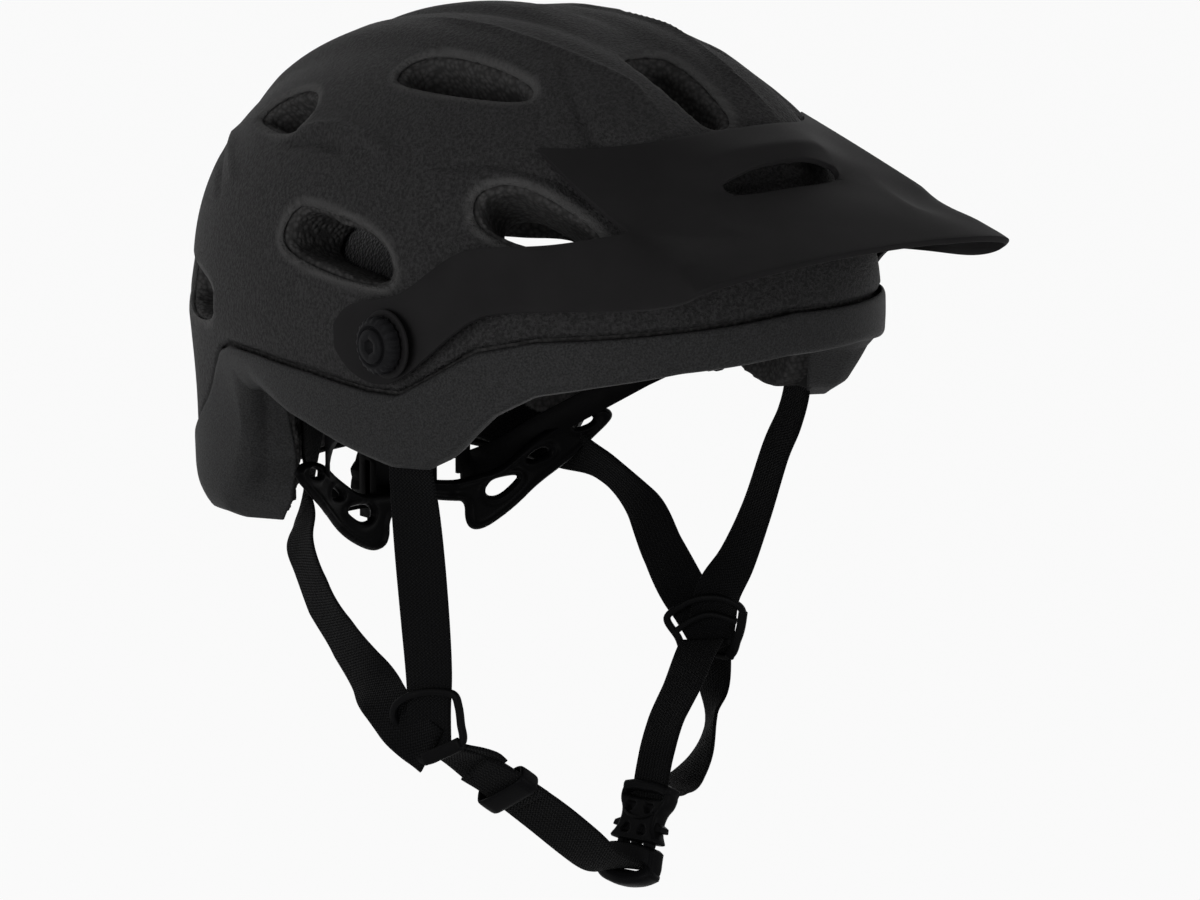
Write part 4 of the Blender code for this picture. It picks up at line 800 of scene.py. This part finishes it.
# mm, then the heading of the web's width in degrees from -Y towards +X, and its lean where it isn't level
strapRoutes = {
    "frontStrapRight": ((-86.5, -36, 19, 12), (-86.3, -36, 6, 14), (-84, -36, -12, 28), (-82, -36, -31, 34),
                        (-80, -36, -52, 32), (-78.3, -35.6, -70, 26), (-77.3, -34.6, -84, 18),
                        (-76.9, -34.3, -98.5, 18)),
    "rearStrapRight": ((-25.7, 98.4, 4, 111), (-31.5, 91.2, -11.5, 118), (-39.5, 83.5, -26, 131),
                       (-54, 68, -38, 150), (-65.5, 53, -47, 162), (-71.5, 36, -60, 170),
                       (-74.4, 18, -71.2, 174), (-77, 0, -80.3, 180), (-80.1, -13, -86.0, 190),
                       (-80.9, -22.5, -91.5, 197), (-80.3, -30, -95.5, 197), (-78.7, -37.5, -99.2, 197)),
    "frontStrapLeft": ((86, -45, 21, -14), (85.8, -45, 8, -14), (84.5, -42.5, -4, -14), (83, -37, -17, -12),
                       (80, -30.5, -40, -8), (76, -24.5, -59, 4), (72.4, -18.6, -72, 20),
                       (71.6, -16.2, -84, 30), (71.2, -15.4, -93, 30)),
    "rearStrapLeft": ((25.7, 98.4, 4, -111), (34, 90, -11, -118), (48.8, 76, -21.3, -131),
                      (59.8, 56.6, -27.8, -150), (68, 40, -35, -172), (74, 26, -48, -172),
                      (71.8, 12, -61.9, -168), (69.6, -1, -73, -156), (70, -9, -80, -150),
                      (70.4, -16, -87.5, -150), (70.0, -20, -93.5, -150)),
    "chinStrap": ((-74.6, -35.8, -98.8, 24), (-62, -38, -106.2, 32, 6), (-48, -41.9, -117.6, 38, 12),
                  (-33, -44.3, -130, 38, 24), (-19, -45.5, -142.3, 30, 34), (-7, -44.3, -152.4, 18, 30),
                  (2, -43, -156.6, 10, 24), (9.2, -41.6, -159.2, 2, 10)),
    "chinLoopOuter": ((66.2, -16.4, -90.0, 6), (59.0, -20.2, -94.0, -2), (47.5, -27, -101, -6),
                      (33, -34, -110.5, -8), (24.5, -38.4, -120.5, -2), (21.6, -38.8, -131.5, 0),
                      (21.0, -39.0, -137, 0)),
    "chinLoopInner": ((71.0, -15.4, -89.3, 16), (73.2, -14.0, -101, 12), (74.2, -14.2, -111.4, -8),
                      (70.8, -16.8, -121.5, -38), (60, -22.4, -131.0, -34), (46, -28.6, -136.5, -20),
                      (34, -33.6, -136.0, -8), (25.6, -37.6, -134.4, 0)),
}
strapNodes = {"frontStrapRight": "front_strap_right", "rearStrapRight": "rear_strap_right",
              "frontStrapLeft": "front_strap_left", "rearStrapLeft": "rear_strap_left",
              "chinStrap": "chin_strap",
              "chinLoopOuter": "chin_loop_outer_left", "chinLoopInner": "chin_loop_inner_left"}


def curved(a, b, c, d, t):
    # Catmull-Rom from b to c
    return 0.5 * (2 * b + (c - a) * t + (2 * a - 5 * b + 4 * c - d) * t**2 + (3 * b - a - 3 * c + d) * t**3)


def smoothRoute(route, step):
    # points, headings and leans at even steps along a route
    knots = np.array([row if len(row) > 4 else (*row, 0) for row in route], float) * (mm, mm, mm, 1, 1)
    knots = np.concatenate([[2 * knots[0] - knots[1]], knots, [2 * knots[-1] - knots[-2]]])
    pieces = []
    for a, b, c, d in zip(knots, knots[1:], knots[2:], knots[3:]):
        parts = max(2, round(float(np.linalg.norm((c - b)[:3])) / step))
        pieces.append(curved(a, b, c, d, (np.arange(parts) / parts)[:, None]))
    return np.concatenate([*pieces, knots[-2:-1]])


def widthWay(samples, along):
    # unit vectors of the web's width, square to its run
    heading, lean = np.radians(samples[..., 3]), np.radians(samples[..., 4])
    wide = np.stack([np.sin(heading) * np.cos(lean), -np.cos(heading) * np.cos(lean), np.sin(lean)], -1)
    return unit(wide - along * (wide * along).sum(-1, keepdims=True))


def webbing(name, route, style):
    # a thin section with fuller selvedges carried along the route, mapped in metres for the weave
    samples = smoothRoute(route, style["step"])
    centres = samples[:, :3]
    along = unit(np.gradient(centres, axis=0))
    wide = widthWay(samples, along)
    thin = np.cross(wide, along)
    u = np.array((-1, -0.97, -0.9, -0.6, 0, 0.6, 0.9, 0.97, 1, 0.97, 0.9, 0.6, 0, -0.6, -0.9, -0.97))
    v = np.array((0, 0.7, 1, 0.88, 0.85, 0.88, 1, 0.7, 0, -0.7, -1, -0.88, -0.85, -0.88, -1, -0.7))
    points = centres[:, None] + (u[:, None] * style["width"] / 2 * wide[:, None]
                                 + v[:, None] * style["thick"] / 2 * thin[:, None])
    ends = centres[[0, -1], None] + u[:, None] * style["width"] / 2 * 0.985 * wide[[0, -1], None]
    points = np.concatenate([ends[:1], points, ends[1:]])
    mesh = meshFromArrays(name, points, gridFaces(len(points), len(u), True))
    length = np.concatenate([[0], np.cumsum(np.linalg.norm(np.diff(centres, axis=0), axis=1))])
    length = np.concatenate([length[:1], length, length[-1:]])
    mapU = np.broadcast_to(u * style["width"] / 2, (len(points), len(u))).ravel()
    mapV = np.broadcast_to(length[:, None], (len(points), len(u))).ravel()
    layer = mesh.uv_layers.new(name="weave")
    corner = np.empty(len(mesh.loops), int)
    mesh.loops.foreach_get("vertex_index", corner)
    layer.data.foreach_set("uv", np.stack([mapU[corner], mapV[corner]], -1).ravel())
    return outwards(mesh)


# second layers of web on the chin strap: the part folded back from the divider and the end under the keeper
chinLayers = {
    "chinTail": ((-74.0, -38.2, -97.4, 24), (-66.0, -40.0, -101.6, 30, 3), (-60.5, -41.3, -105.6, 34, 8),
                 (-57.6, -42.2, -109.0, 36, 10)),
    "chinEnd": ((-61.5, -39.8, -108.2, 34, 6), (-56, -42.3, -111.8, 36, 9), (-50, -44.2, -116.2, 38, 11),
                (-41, -45.4, -123.6, 38, 18)),
}
for name, route in {**strapRoutes, **chinLayers}.items():
    replaced = [strapNodes[name]] if name in strapNodes else ()
    addPiece(name, webbing(name, route, strapStyle), "helmet", "web", replaced)
print("straps done")


def plate(outline, holes, size, thick, soft, place, raised=None):
    # flat part on a square grid: quads outside the outline are dropped, the rim slides onto it along the
    # distance field's slope, and the half thickness grows from the rim as a quarter circle
    outline, holes = np.asarray(outline, float), [np.asarray(hole, float) for hole in holes]
    low, high = outline.min(0) - size, outline.max(0) + size * 1.5
    flat = np.stack(np.meshgrid(np.arange(low[0], high[0], size), np.arange(low[1], high[1], size)), -1)

    def field(spots):
        found = outlineDistance(spots, outline)
        for hole in holes:
            found = np.maximum(found, -outlineDistance(spots, hole))
        return found

    spots = flat.reshape(-1, 2)
    quads = gridFaces(*flat.shape[:2])
    quads = quads[field(spots)[quads].mean(1) < 0]
    used, quads = np.unique(quads, return_inverse=True)
    quads, spots = quads.reshape(-1, 4), spots[used]
    edges = np.concatenate([quads[:, [i, (i + 1) % 4]] for i in range(4)])
    _, first, count = np.unique(np.sort(edges, 1), axis=0, return_index=True, return_counts=True)
    rim = edges[first[count == 1]]
    rimVerts = np.unique(rim)
    step = size * 0.05
    for _ in range(5):
        at = spots[rimVerts]
        here = field(at)
        slope = np.stack([field(at + (step, 0)) - here, field(at + (0, step)) - here], -1) / step
        spots[rimVerts] = at - (0.9 * here / ((slope**2).sum(-1) + 1e-9))[:, None] * slope
    inset = -field(spots)
    share = np.clip(inset / soft, 0, 1)
    half = thick / 2 - min(soft, thick * 0.46) * (1 - np.sqrt(1 - (1 - share) ** 2))
    lift = raised(spots, inset) if raised else 0.0
    points = np.concatenate([place(spots, half + lift), place(spots, -half)])
    count = len(spots)
    wall = np.stack([rim[:, 1], rim[:, 0], rim[:, 0] + count, rim[:, 1] + count], -1)
    return points, np.concatenate([quads, quads[:, ::-1] + count, wall])


def joinedMesh(name, *parts):
    # several closed forms in one mesh
    points, faces, start = [], [], 0
    for part, quads in parts:
        points.append(part)
        faces.append(quads + start)
        start += len(part)
    return outwards(meshFromArrays(name, np.concatenate(points), np.concatenate(faces)), 1e-7)


def pushed(wave, power):
    # a cosine or sine pushed out towards the corners of a square
    return np.sign(wave) * np.abs(wave) ** power


def barAlong(path, width, thick, out, closed=False, sides=14, parts=8):
    # squarish section carried along a smooth path; width lies across the path, thick along out
    count = len(path)
    dense = []
    for i in range(count if closed else count - 1):
        spots = (path[(i + k) % count if closed else min(max(i + k, 0), count - 1)] for k in (-1, 0, 1, 2))
        dense.append(curved(*spots, np.linspace(0, 1, parts + 1)[:-1, None]))
    if not closed:
        dense.append(path[-1:])
    dense = np.concatenate(dense)
    ahead = unit(np.roll(dense, -1, 0) - np.roll(dense, 1, 0) if closed else np.gradient(dense, axis=0))
    side = unit(np.cross(ahead, out))
    front = np.cross(side, ahead)
    turn = np.linspace(0, 2 * math.pi, sides, endpoint=False)
    u, v = pushed(np.cos(turn), 0.6) * width / 2, pushed(np.sin(turn), 0.6) * thick / 2
    rings = dense[:, None] + (u[:, None] * side[:, None] + v[:, None] * front[:, None])
    if closed:
        rings = np.concatenate([rings, rings[:1]])
    else:
        # a smaller ring and a point close each end
        ends = dense[[0, -1], None]
        past = ends + ahead[[0, -1], None] * thick * 0.12 * np.array((-1, 1))[:, None, None]
        small, tips = past + 0.8 * (rings[[0, -1]] - ends), past + 0.0 * rings[[0, -1]]
        rings = np.concatenate([tips[:1], small[:1], rings, small[1:], tips[1:]])
    return rings.reshape(-1, 3), gridFaces(len(rings), sides, True)


def onPlane(origin, across, up):
    # two functions: places (across, up) and a level out of the plane in metres, and bars whose rows are in mm
    out = np.cross(across, up)

    def place(spots, level):
        return origin + spots[:, :1] * across + spots[:, 1:] * up + level[:, None] * out

    def bar(rows, width, thick, closed=False):
        rows = np.array(rows, float) * mm
        return barAlong(place(rows[:, :2], rows[:, 2]), width, thick, out, closed)

    return place, bar


def softened(node, width):
    # a CAD node's shape with its edges rounded over
    record = frame["record"]
    body = next(key for key, names in record["behaviour"]["bodies"].items() if node in names)
    slot = next(row["material_slot"] for row in record["subparts"] if row["node"] == node)
    mesh = reworked(nodes[node].data.copy(), merged(1e-6), lambda work: bmesh.ops.dissolve_limit(
        work, angle_limit=math.radians(2), verts=work.verts, edges=work.edges))
    mesh.shade_smooth()
    bevelled(addPiece(camelName(node), mesh, body, slot, [node]), width, 28)


# (across, up, out) in mm on an upright plane; each bar with its width and thickness in metres
dividers = {
    "right": {"origin": (-77.2, -34.4, -91), "heading": 20,
              "ring": ((-9.5, -9.5, -2.2), (-12.4, -4.5, -1.8), (-13.7, 1.5, 1.0), (-12.0, 6.2, 2.4),
                       (-7.7, 9.9, 3.0), (-1.6, 12.4, 2.4), (5.5, 13.7, 2.2), (11.4, 13.4, 2.2),
                       (13.3, 9.4, 2.2), (14.4, 3.6, 2.6), (15.4, -2.6, 3.4), (9.0, -7.4, 4.0),
                       (0.5, -11.6, 3.6)),
              "bars": ((((0.8, -10.6, 4.6), (8.0, -7.0, 4.8), (15.0, -3.0, 4.4)), 0.0048, 0.0026),)},
    "left": {"origin": (71.3, -15.2, -84), "heading": 32,
             "ring": ((-16.0, 0.6, 2.0), (-10.0, 6.0, 2.2), (-3.9, 9.0, 2.2), (3.8, 10.0, 2.2),
                      (10.5, 8.2, 2.2), (13.2, 4.5, 2.2), (11.6, -4.0, 2.2), (8.6, -11.8, 2.0),
                      (-0.7, -12.6, -1.8), (-8.4, -13.0, 1.6), (-11.7, -6.4, 2.0)),
             "bars": ((((13.3, 5.4, 2.4), (12.0, -2.6, 2.4), (8.2, -12.4, 2.2)), 0.0034, 0.0026),
                      (((-11.9, -3.6, 2.4), (-5.6, 1.1, 2.6), (1.4, 3.5, 2.6), (10.6, 1.6, 2.4)),
                       0.0024, 0.0024),
                      (((-9.6, -9.2, 2.2), (-0.7, -8.0, 2.4), (8.4, -6.0, 2.2)), 0.0022, 0.0024))},
}
dividerWire = 0.0026


def makeDivider(side, style):
    # rounded ring round the two webs, with bars across
    heading = math.radians(style["heading"])
    _, bar = onPlane(np.array(style["origin"]) * mm, np.array((math.sin(heading), -math.cos(heading), 0)),
                     np.array((0, 0, 1)))
    parts = [bar(style["ring"], dividerWire, dividerWire, True), *(bar(*row) for row in style["bars"])]
    name = f"strapDivider{side.title()}"
    mesh = joinedMesh(name, *parts)
    addPiece(name, mesh, "helmet", "divider", [f"strap_divider_{side}"])


for side, style in dividers.items():
    makeDivider(side, style)


# the fit cradle's two leaves in mm across and up, on a surface behind the middle that comes forwards sideways
cradleStyle = {"back": 64, "curl": 0.0028, "bridge": 12.5, "tuck": 4.2, "thick": 0.0024, "soft": 0.0012,
               "rim": 0.0009, "rimPlace": 0.0016, "rimSpread": 0.0011, "cell": 0.0008, "edge": 0.0006}
# the middle of the CAD cradle that is kept, in metres
cradleBox = ((-0.0145, 0.0145), (0.055, 0.12), (-0.050, 0.03))
cradleHalf = ((14, -43.4), (18.2, -45), (18.2, -51.7), (20.5, -55.6), (25, -56.4), (31, -54.4), (41.5, -48.1),
              (51, -39.2), (61.4, -30.2), (69, -23.2), (73, -19.5), (75, -16.5), (73.5, -13.8), (70.5, -13),
              (64.5, -13.6), (56, -17), (48.4, -22.5), (41.7, -27.5), (33.3, -33.5), (22.6, -35), (14, -35.8))
cradleHoles = (((26.6, -41.6), (28.5, -38.6), (32, -37.2), (41.6, -36.9), (38.5, -40.2), (33, -44),
                (28.4, -44)),
               ((52.4, -28), (49.4, -27), (43.6, -31.2), (45.2, -32.4), (51, -30.4)),
               ((68, -16.2), (64.5, -16.0), (59.4, -18.6), (60.8, -20.4), (66.6, -18.8)))


def onCradle(spots, level):
    x = spots[:, 0] / mm
    middle = np.clip(1 - np.abs(x) / 15, 0, 1)
    outer = np.clip((np.abs(x) - 44) / 18, 0, 1)
    y = cradleStyle["back"] - cradleStyle["curl"] * x**2 + cradleStyle["bridge"] * eased(middle) \
        - cradleStyle["tuck"] * eased(outer)
    lean = -2 * cradleStyle["curl"] * x
    size = np.sqrt(1 + lean**2)
    return np.stack([spots[:, 0] + level * lean / size, y * mm - level / size, spots[:, 1]], -1)


def makeCradle():
    style = cradleStyle
    half = np.array(cradleHalf, float) * mm
    whole = np.concatenate([half, half[::-1] * (-1, 1)])
    holes = [cutCorners(np.array(hole) * (side, 1) * mm, 2) for hole in cradleHoles for side in (-1, 1)]

    def ribs(spots, inset):
        return style["rim"] * np.exp(-(((inset - style["rimPlace"]) / style["rimSpread"]) ** 2))

    leaves = plate(cutCorners(whole, 2), holes, style["cell"], style["thick"], style["soft"], onCradle, ribs)
    addPiece("cradleLeaves", joinedMesh("cradleLeaves", leaves), "cradle", "fit")
    corner = np.array([(x, y, z) for x in cradleBox[0] for y in cradleBox[1] for z in cradleBox[2]])
    sides = ((0, 1, 3, 2), (4, 6, 7, 5), (0, 4, 5, 1), (2, 3, 7, 6), (0, 2, 6, 4), (1, 5, 7, 3))
    box = placed("box", outwards(meshFromArrays("box", corner, sides)))
    body = applied("cradleBody", reworked(nodes["fit_cradle"].data.copy(), merged(1e-6)),
                   ("BOOLEAN", {"object": box, "operation": "INTERSECT", "solver": "EXACT"}))
    bpy.data.objects.remove(box)
    body.shade_smooth()
    piece = addPiece("cradleBody", body, "cradle", "fit", ["fit_cradle"])
    bevelled(piece, style["edge"], 30)


keeperStyle = {"halfWidth": 0.0104, "halfDepth": 0.0034, "wall": 0.0017, "length": 0.0084, "offset": 0.0008}


def makeKeeper():
    # rounded band round the doubled web, at the CAD keeper's place
    style = keeperStyle
    samples = smoothRoute(strapRoutes["chinStrap"], strapStyle["step"])
    centre = coordinates(nodes["strap_keeper"].data).mean(0)
    spot = np.linalg.norm(samples[:, :3] - centre, axis=1).argmin()
    along = unit(samples[spot + 2, :3] - samples[spot - 2, :3])
    wide = widthWay(samples[spot], along)
    thin = np.cross(wide, along)
    middle = samples[spot, :3] + thin * style["offset"] * (-1 if thin[0] > 0 else 1)
    turn = np.linspace(0, 2 * math.pi, 24, endpoint=False)
    across = pushed(np.cos(turn), 0.3) * style["halfWidth"]
    through = pushed(np.sin(turn), 0.5) * style["halfDepth"]
    ring = middle + across[:, None] * wide + through[:, None] * thin
    mesh = joinedMesh("webKeeper", barAlong(ring, style["wall"], style["length"], along, True))
    addPiece("webKeeper", mesh, "keeper", "buckle", ["strap_keeper"])


# side-release buckle in mm across and up from the socket's top edge, on the plane through both halves
buckleStyle = {"top": (22.9, -38, -133.0), "foot": (7.1, -42, -163.9), "thick": 0.0078, "proud": 0.0008,
               "soft": 0.0017, "cell": 0.0004, "sink": 0.0014, "sinkSlope": 0.0006}
socketOutline = ((-9, 1.2), (-11.6, -0.6), (-12.2, -3.4), (-11.4, -6.6), (-9.4, -9), (-8.8, -12.5),
                 (-9.6, -16), (-12.2, -19.4), (-11.4, -20.3), (11.4, -20.3), (12.2, -19.4), (9.6, -16),
                 (8.8, -12.5), (9.4, -9), (11.4, -6.6), (12.2, -3.4), (11.6, -0.6), (9, 1.2))
socketSlot = ((-9.6, -2.0), (9.6, -2.0), (9.6, -4.2), (-9.6, -4.2))
socketSinks = (((-7.4, -6.2), (-1.6, -6.2), (-4.6, -10.6)), ((7.4, -6.2), (1.6, -6.2), (4.6, -10.6)),
               ((-6.8, -17.6), (-1.6, -17.6), (-3.8, -13.2)), ((6.8, -17.6), (1.6, -17.6), (3.8, -13.2)))
plugOutline = ((-12.2, -21), (-12.8, -25), (-13.8, -29.6), (-12.4, -33), (-8, -35), (0, -35.8), (8, -35),
               (12.4, -33), (13.8, -29.6), (12.8, -25), (12.2, -21))
plugSlot = ((-9.8, -28.2), (9.8, -28.2), (9.8, -30.8), (-9.8, -30.8))


def makeBuckle():
    style = buckleStyle
    top, foot = (np.array(style[key]) * mm for key in ("top", "foot"))
    up = unit(top - foot)
    ahead = np.array((0, -1.0, 0))
    wide = unit(ahead - up * (up @ ahead))
    place, bar = onPlane(top, wide, up)

    def sunk(spots, inset):
        # level change of the front face: four triangular hollows
        depth = np.zeros(len(spots))
        for corners in socketSinks:
            reach = outlineDistance(spots, cutCorners(np.array(corners, float) * mm, 1))
            depth = np.maximum(depth, np.clip(0.5 - reach / style["sinkSlope"], 0, 1))
        return -style["sink"] * depth

    def slotted(outline, slot, raised=None):
        outline, slot = (cutCorners(np.array(rows, float) * mm, cuts)
                         for rows, cuts in ((outline, 2), (slot, 1)))
        thick = style["thick"] - style["proud"]
        return plate(outline, [slot], style["cell"], thick, style["soft"], place, raised)

    half = style["thick"] / mm / 2
    arc = bar(((-7.6, -9.4, half - 0.7), (-4, -11.2, half - 0.2), (0, -11.8, half), (4, -11.2, half - 0.2),
               (7.6, -9.4, half - 0.7)), 0.0013, 0.0012)
    lip = bar(((-10.6, -0.8, 0), (-5, 0.2, 0), (5, 0.2, 0), (10.6, -0.8, 0)), 0.0042, style["thick"])
    tongue = bar(((0, -21.6, 0), (0, -14, 0)), 0.0040, 0.0034)
    hook = bar(((-12.6, -30.6, 0.4), (-8, -33.2, 1.2), (0, -34.4, 1.6), (8, -33.2, 1.2), (12.6, -30.6, 0.4)),
               0.0052, style["thick"])
    for name, node, *parts in (("buckleSocket", "socket", slotted(socketOutline, socketSlot, sunk), arc, lip),
                               ("buckleSlotted", "plug", slotted(plugOutline, plugSlot), tongue, hook)):
        addPiece(name, joinedMesh(name, *parts), "helmet", "buckle", [f"buckle_{node}"])


makeCradle()
for side in ("right", "left"):
    for node, width in (("visor_insert", 0.0003), ("front_anchor", 0.0006), ("rear_anchor", 0.0006),
                        ("fit_arm", 0.0004), ("fit_pin", 0.0004)):
        softened(f"{node}_{side}", width)
makeKeeper()
makeBuckle()
for node, width in (("buckle_prong_front", 0.0004), ("buckle_prong_rear", 0.0004), ("fit_guide", 0.0006),
                    ("fit_dial", 0.0006)):
    softened(node, width)
print("fittings done")


# first and last azimuth, first and last dome angle in degrees, thickness
pads = {"brow_pad": (-50, 50, 63, 77, 0.008), "crown_pad_front": (-22, 22, 30, 62, 0.007),
        "crown_pad_rear": (158, 202, 26, 58, 0.007), "side_pad_right": (-118, -62, 58, 76, 0.007),
        "side_pad_left": (62, 118, 58, 76, 0.007)}
padStyle = {"back": 0.0013, "seam": 0.0026, "flat": 0.0016, "drawIn": 0.02, "quilt": 0.10, "quiltPlace": 0.4,
            "quiltSpread": 0.05}


def makePad(node, place):
    # a pillow on the hollow's wall: steep at its edges and nearly flat between, with two quilted lines
    lowAngle, highAngle, lowTilt, highTilt, thick = place
    across = np.linspace(-1, 1, 61)[None, :]
    down = np.linspace(-1, 1, 31)[:, None]
    inset = 1 - padStyle["drawIn"] * (across**2 + down**2)
    angle = np.radians((lowAngle + highAngle) / 2 + (highAngle - lowAngle) / 2 * across * inset)
    tilt = np.radians((lowTilt + highTilt) / 2 + (highTilt - lowTilt) / 2 * down * inset) + 0 * across
    crown = np.clip((1 - across**4) * (1 - down**4), 0, 1) ** 0.5
    line = ((np.abs(across) - padStyle["quiltPlace"]) / padStyle["quiltSpread"]) ** 2
    quilt = 1 - padStyle["quilt"] * np.exp(-line)
    back = onDome(angle, tilt, -padStyle["back"], hollow, False)
    face = onDome(angle, tilt, -padStyle["seam"] - (thick - padStyle["flat"]) * crown * quilt, hollow, False)
    points = np.stack([back, face])
    rows, cols = tilt.shape
    quads = gridFaces(rows, cols)
    rim = np.concatenate([np.arange(cols), np.arange(1, rows) * cols + cols - 1,
                          (rows - 1) * cols + np.arange(cols - 2, -1, -1), np.arange(rows - 2, 0, -1) * cols])
    after = np.roll(rim, -1)
    wall = np.stack([rim, after, after + rows * cols, rim + rows * cols], -1)
    name = camelName(node)
    mesh = meshFromArrays(name, points, np.concatenate([quads, quads + rows * cols, wall]))
    addPiece(name, outwards(mesh), "helmet", "pad", [node])


for node, place in pads.items():
    makePad(node, place)
print("pads done")


def seenDirectly(tree):
    # 1 where the camera, a reflection or clear plastic sees the surface, 0 for the light that it gives
    path = tree.nodes.new("ShaderNodeLightPath")
    total = path.outputs["Is Camera Ray"]
    for kind in ("Is Glossy Ray", "Is Transmission Ray"):
        total = mathNode(tree, "ADD", total, path.outputs[kind], clamp=True)
    return total


def blended(tree, share, first, second, output):
    mix = tree.nodes.new("ShaderNodeMixShader")
    for source, socket in zip((share, first, second), mix.inputs):
        tree.links.new(source, socket)
    tree.links.new(mix.outputs["Shader"], tree.nodes[output].inputs["Surface"])


stageStyle = {"half": 8, "level": -0.24, "glowShare": 0.95, "worldLight": 0.06}


def makeStage():
    # a white surround that gives little light itself, a floor that glows as white, and four soft lamps
    floorLook, tree, shader = newMaterial("paleFloor", (0.55, 0.55, 0.55), 0.9, 0.12)
    glow = tree.nodes.new("ShaderNodeEmission")
    glow.inputs["Strength"].default_value = 1.0
    share = mathNode(tree, "MULTIPLY", seenDirectly(tree), stageStyle["glowShare"])
    blended(tree, share, shader.outputs["BSDF"], glow.outputs["Emission"], "Material Output")
    corners = [(x * stageStyle["half"], y * stageStyle["half"], stageStyle["level"])
               for x, y in ((-1, -1), (1, -1), (1, 1), (-1, 1))]
    floorMesh = meshFromArrays("floor", corners, [(0, 1, 2, 3)])
    floorMesh.materials.append(floorLook)
    placed("floor", floorMesh)

    world = bpy.data.worlds.new("studio")
    bpy.context.scene.world = world
    world.use_nodes = True
    tree = world.node_tree
    soft, seen = tree.nodes["Background"], tree.nodes.new("ShaderNodeBackground")
    soft.inputs["Strength"].default_value = stageStyle["worldLight"]
    for node in (soft, seen):
        node.inputs["Color"].default_value = (1, 1, 1, 1)
    blended(tree, seenDirectly(tree), soft.outputs["Background"], seen.outputs["Background"], "World Output")

    lamps = {"key": ((-0.8, -0.9, 1.1), 1.0, 1.7), "left": ((-1.55, -0.45, 0.05), 1.2, 15.5),
             "front": ((0.25, -1.6, -0.12), 0.9, 9.5), "rear": ((-0.9, 1.3, 0.6), 1.0, 0.7)}
    for name, (place, size, power) in lamps.items():
        light = bpy.data.lights.new(name, "AREA")
        light.shape = "DISK"
        light.size = size
        light.energy = power
        lamp = placed(name, light)
        lamp.location = place
        lamp.rotation_euler = Vector(place).to_track_quat("Z", "Y").to_euler()


def makeCamera():
    view = {"azimuth": -40.0, "elevation": 12.9, "distance": 1.6, "lens": 133.92, "shift": (0.0533, -0.0242)}
    turn, lift = math.radians(view["azimuth"]), math.radians(view["elevation"])
    back = Vector((math.sin(turn) * math.cos(lift), -math.cos(turn) * math.cos(lift), math.sin(lift)))
    right = Vector((math.cos(turn), math.sin(turn), 0))
    camera = bpy.data.cameras.new("photoCamera")
    camera.lens = view["lens"]
    camera.sensor_width = 36
    camera.shift_x, camera.shift_y = view["shift"]
    holder = placed("photoCamera", camera)
    holder.matrix_world = Matrix.Translation(back * view["distance"]) \
        @ Matrix((right, back.cross(right), back)).transposed().to_4x4()
    bpy.context.scene.camera = holder


makeStage()
makeCamera()
bpy.context.scene.view_settings.view_transform = "Standard"
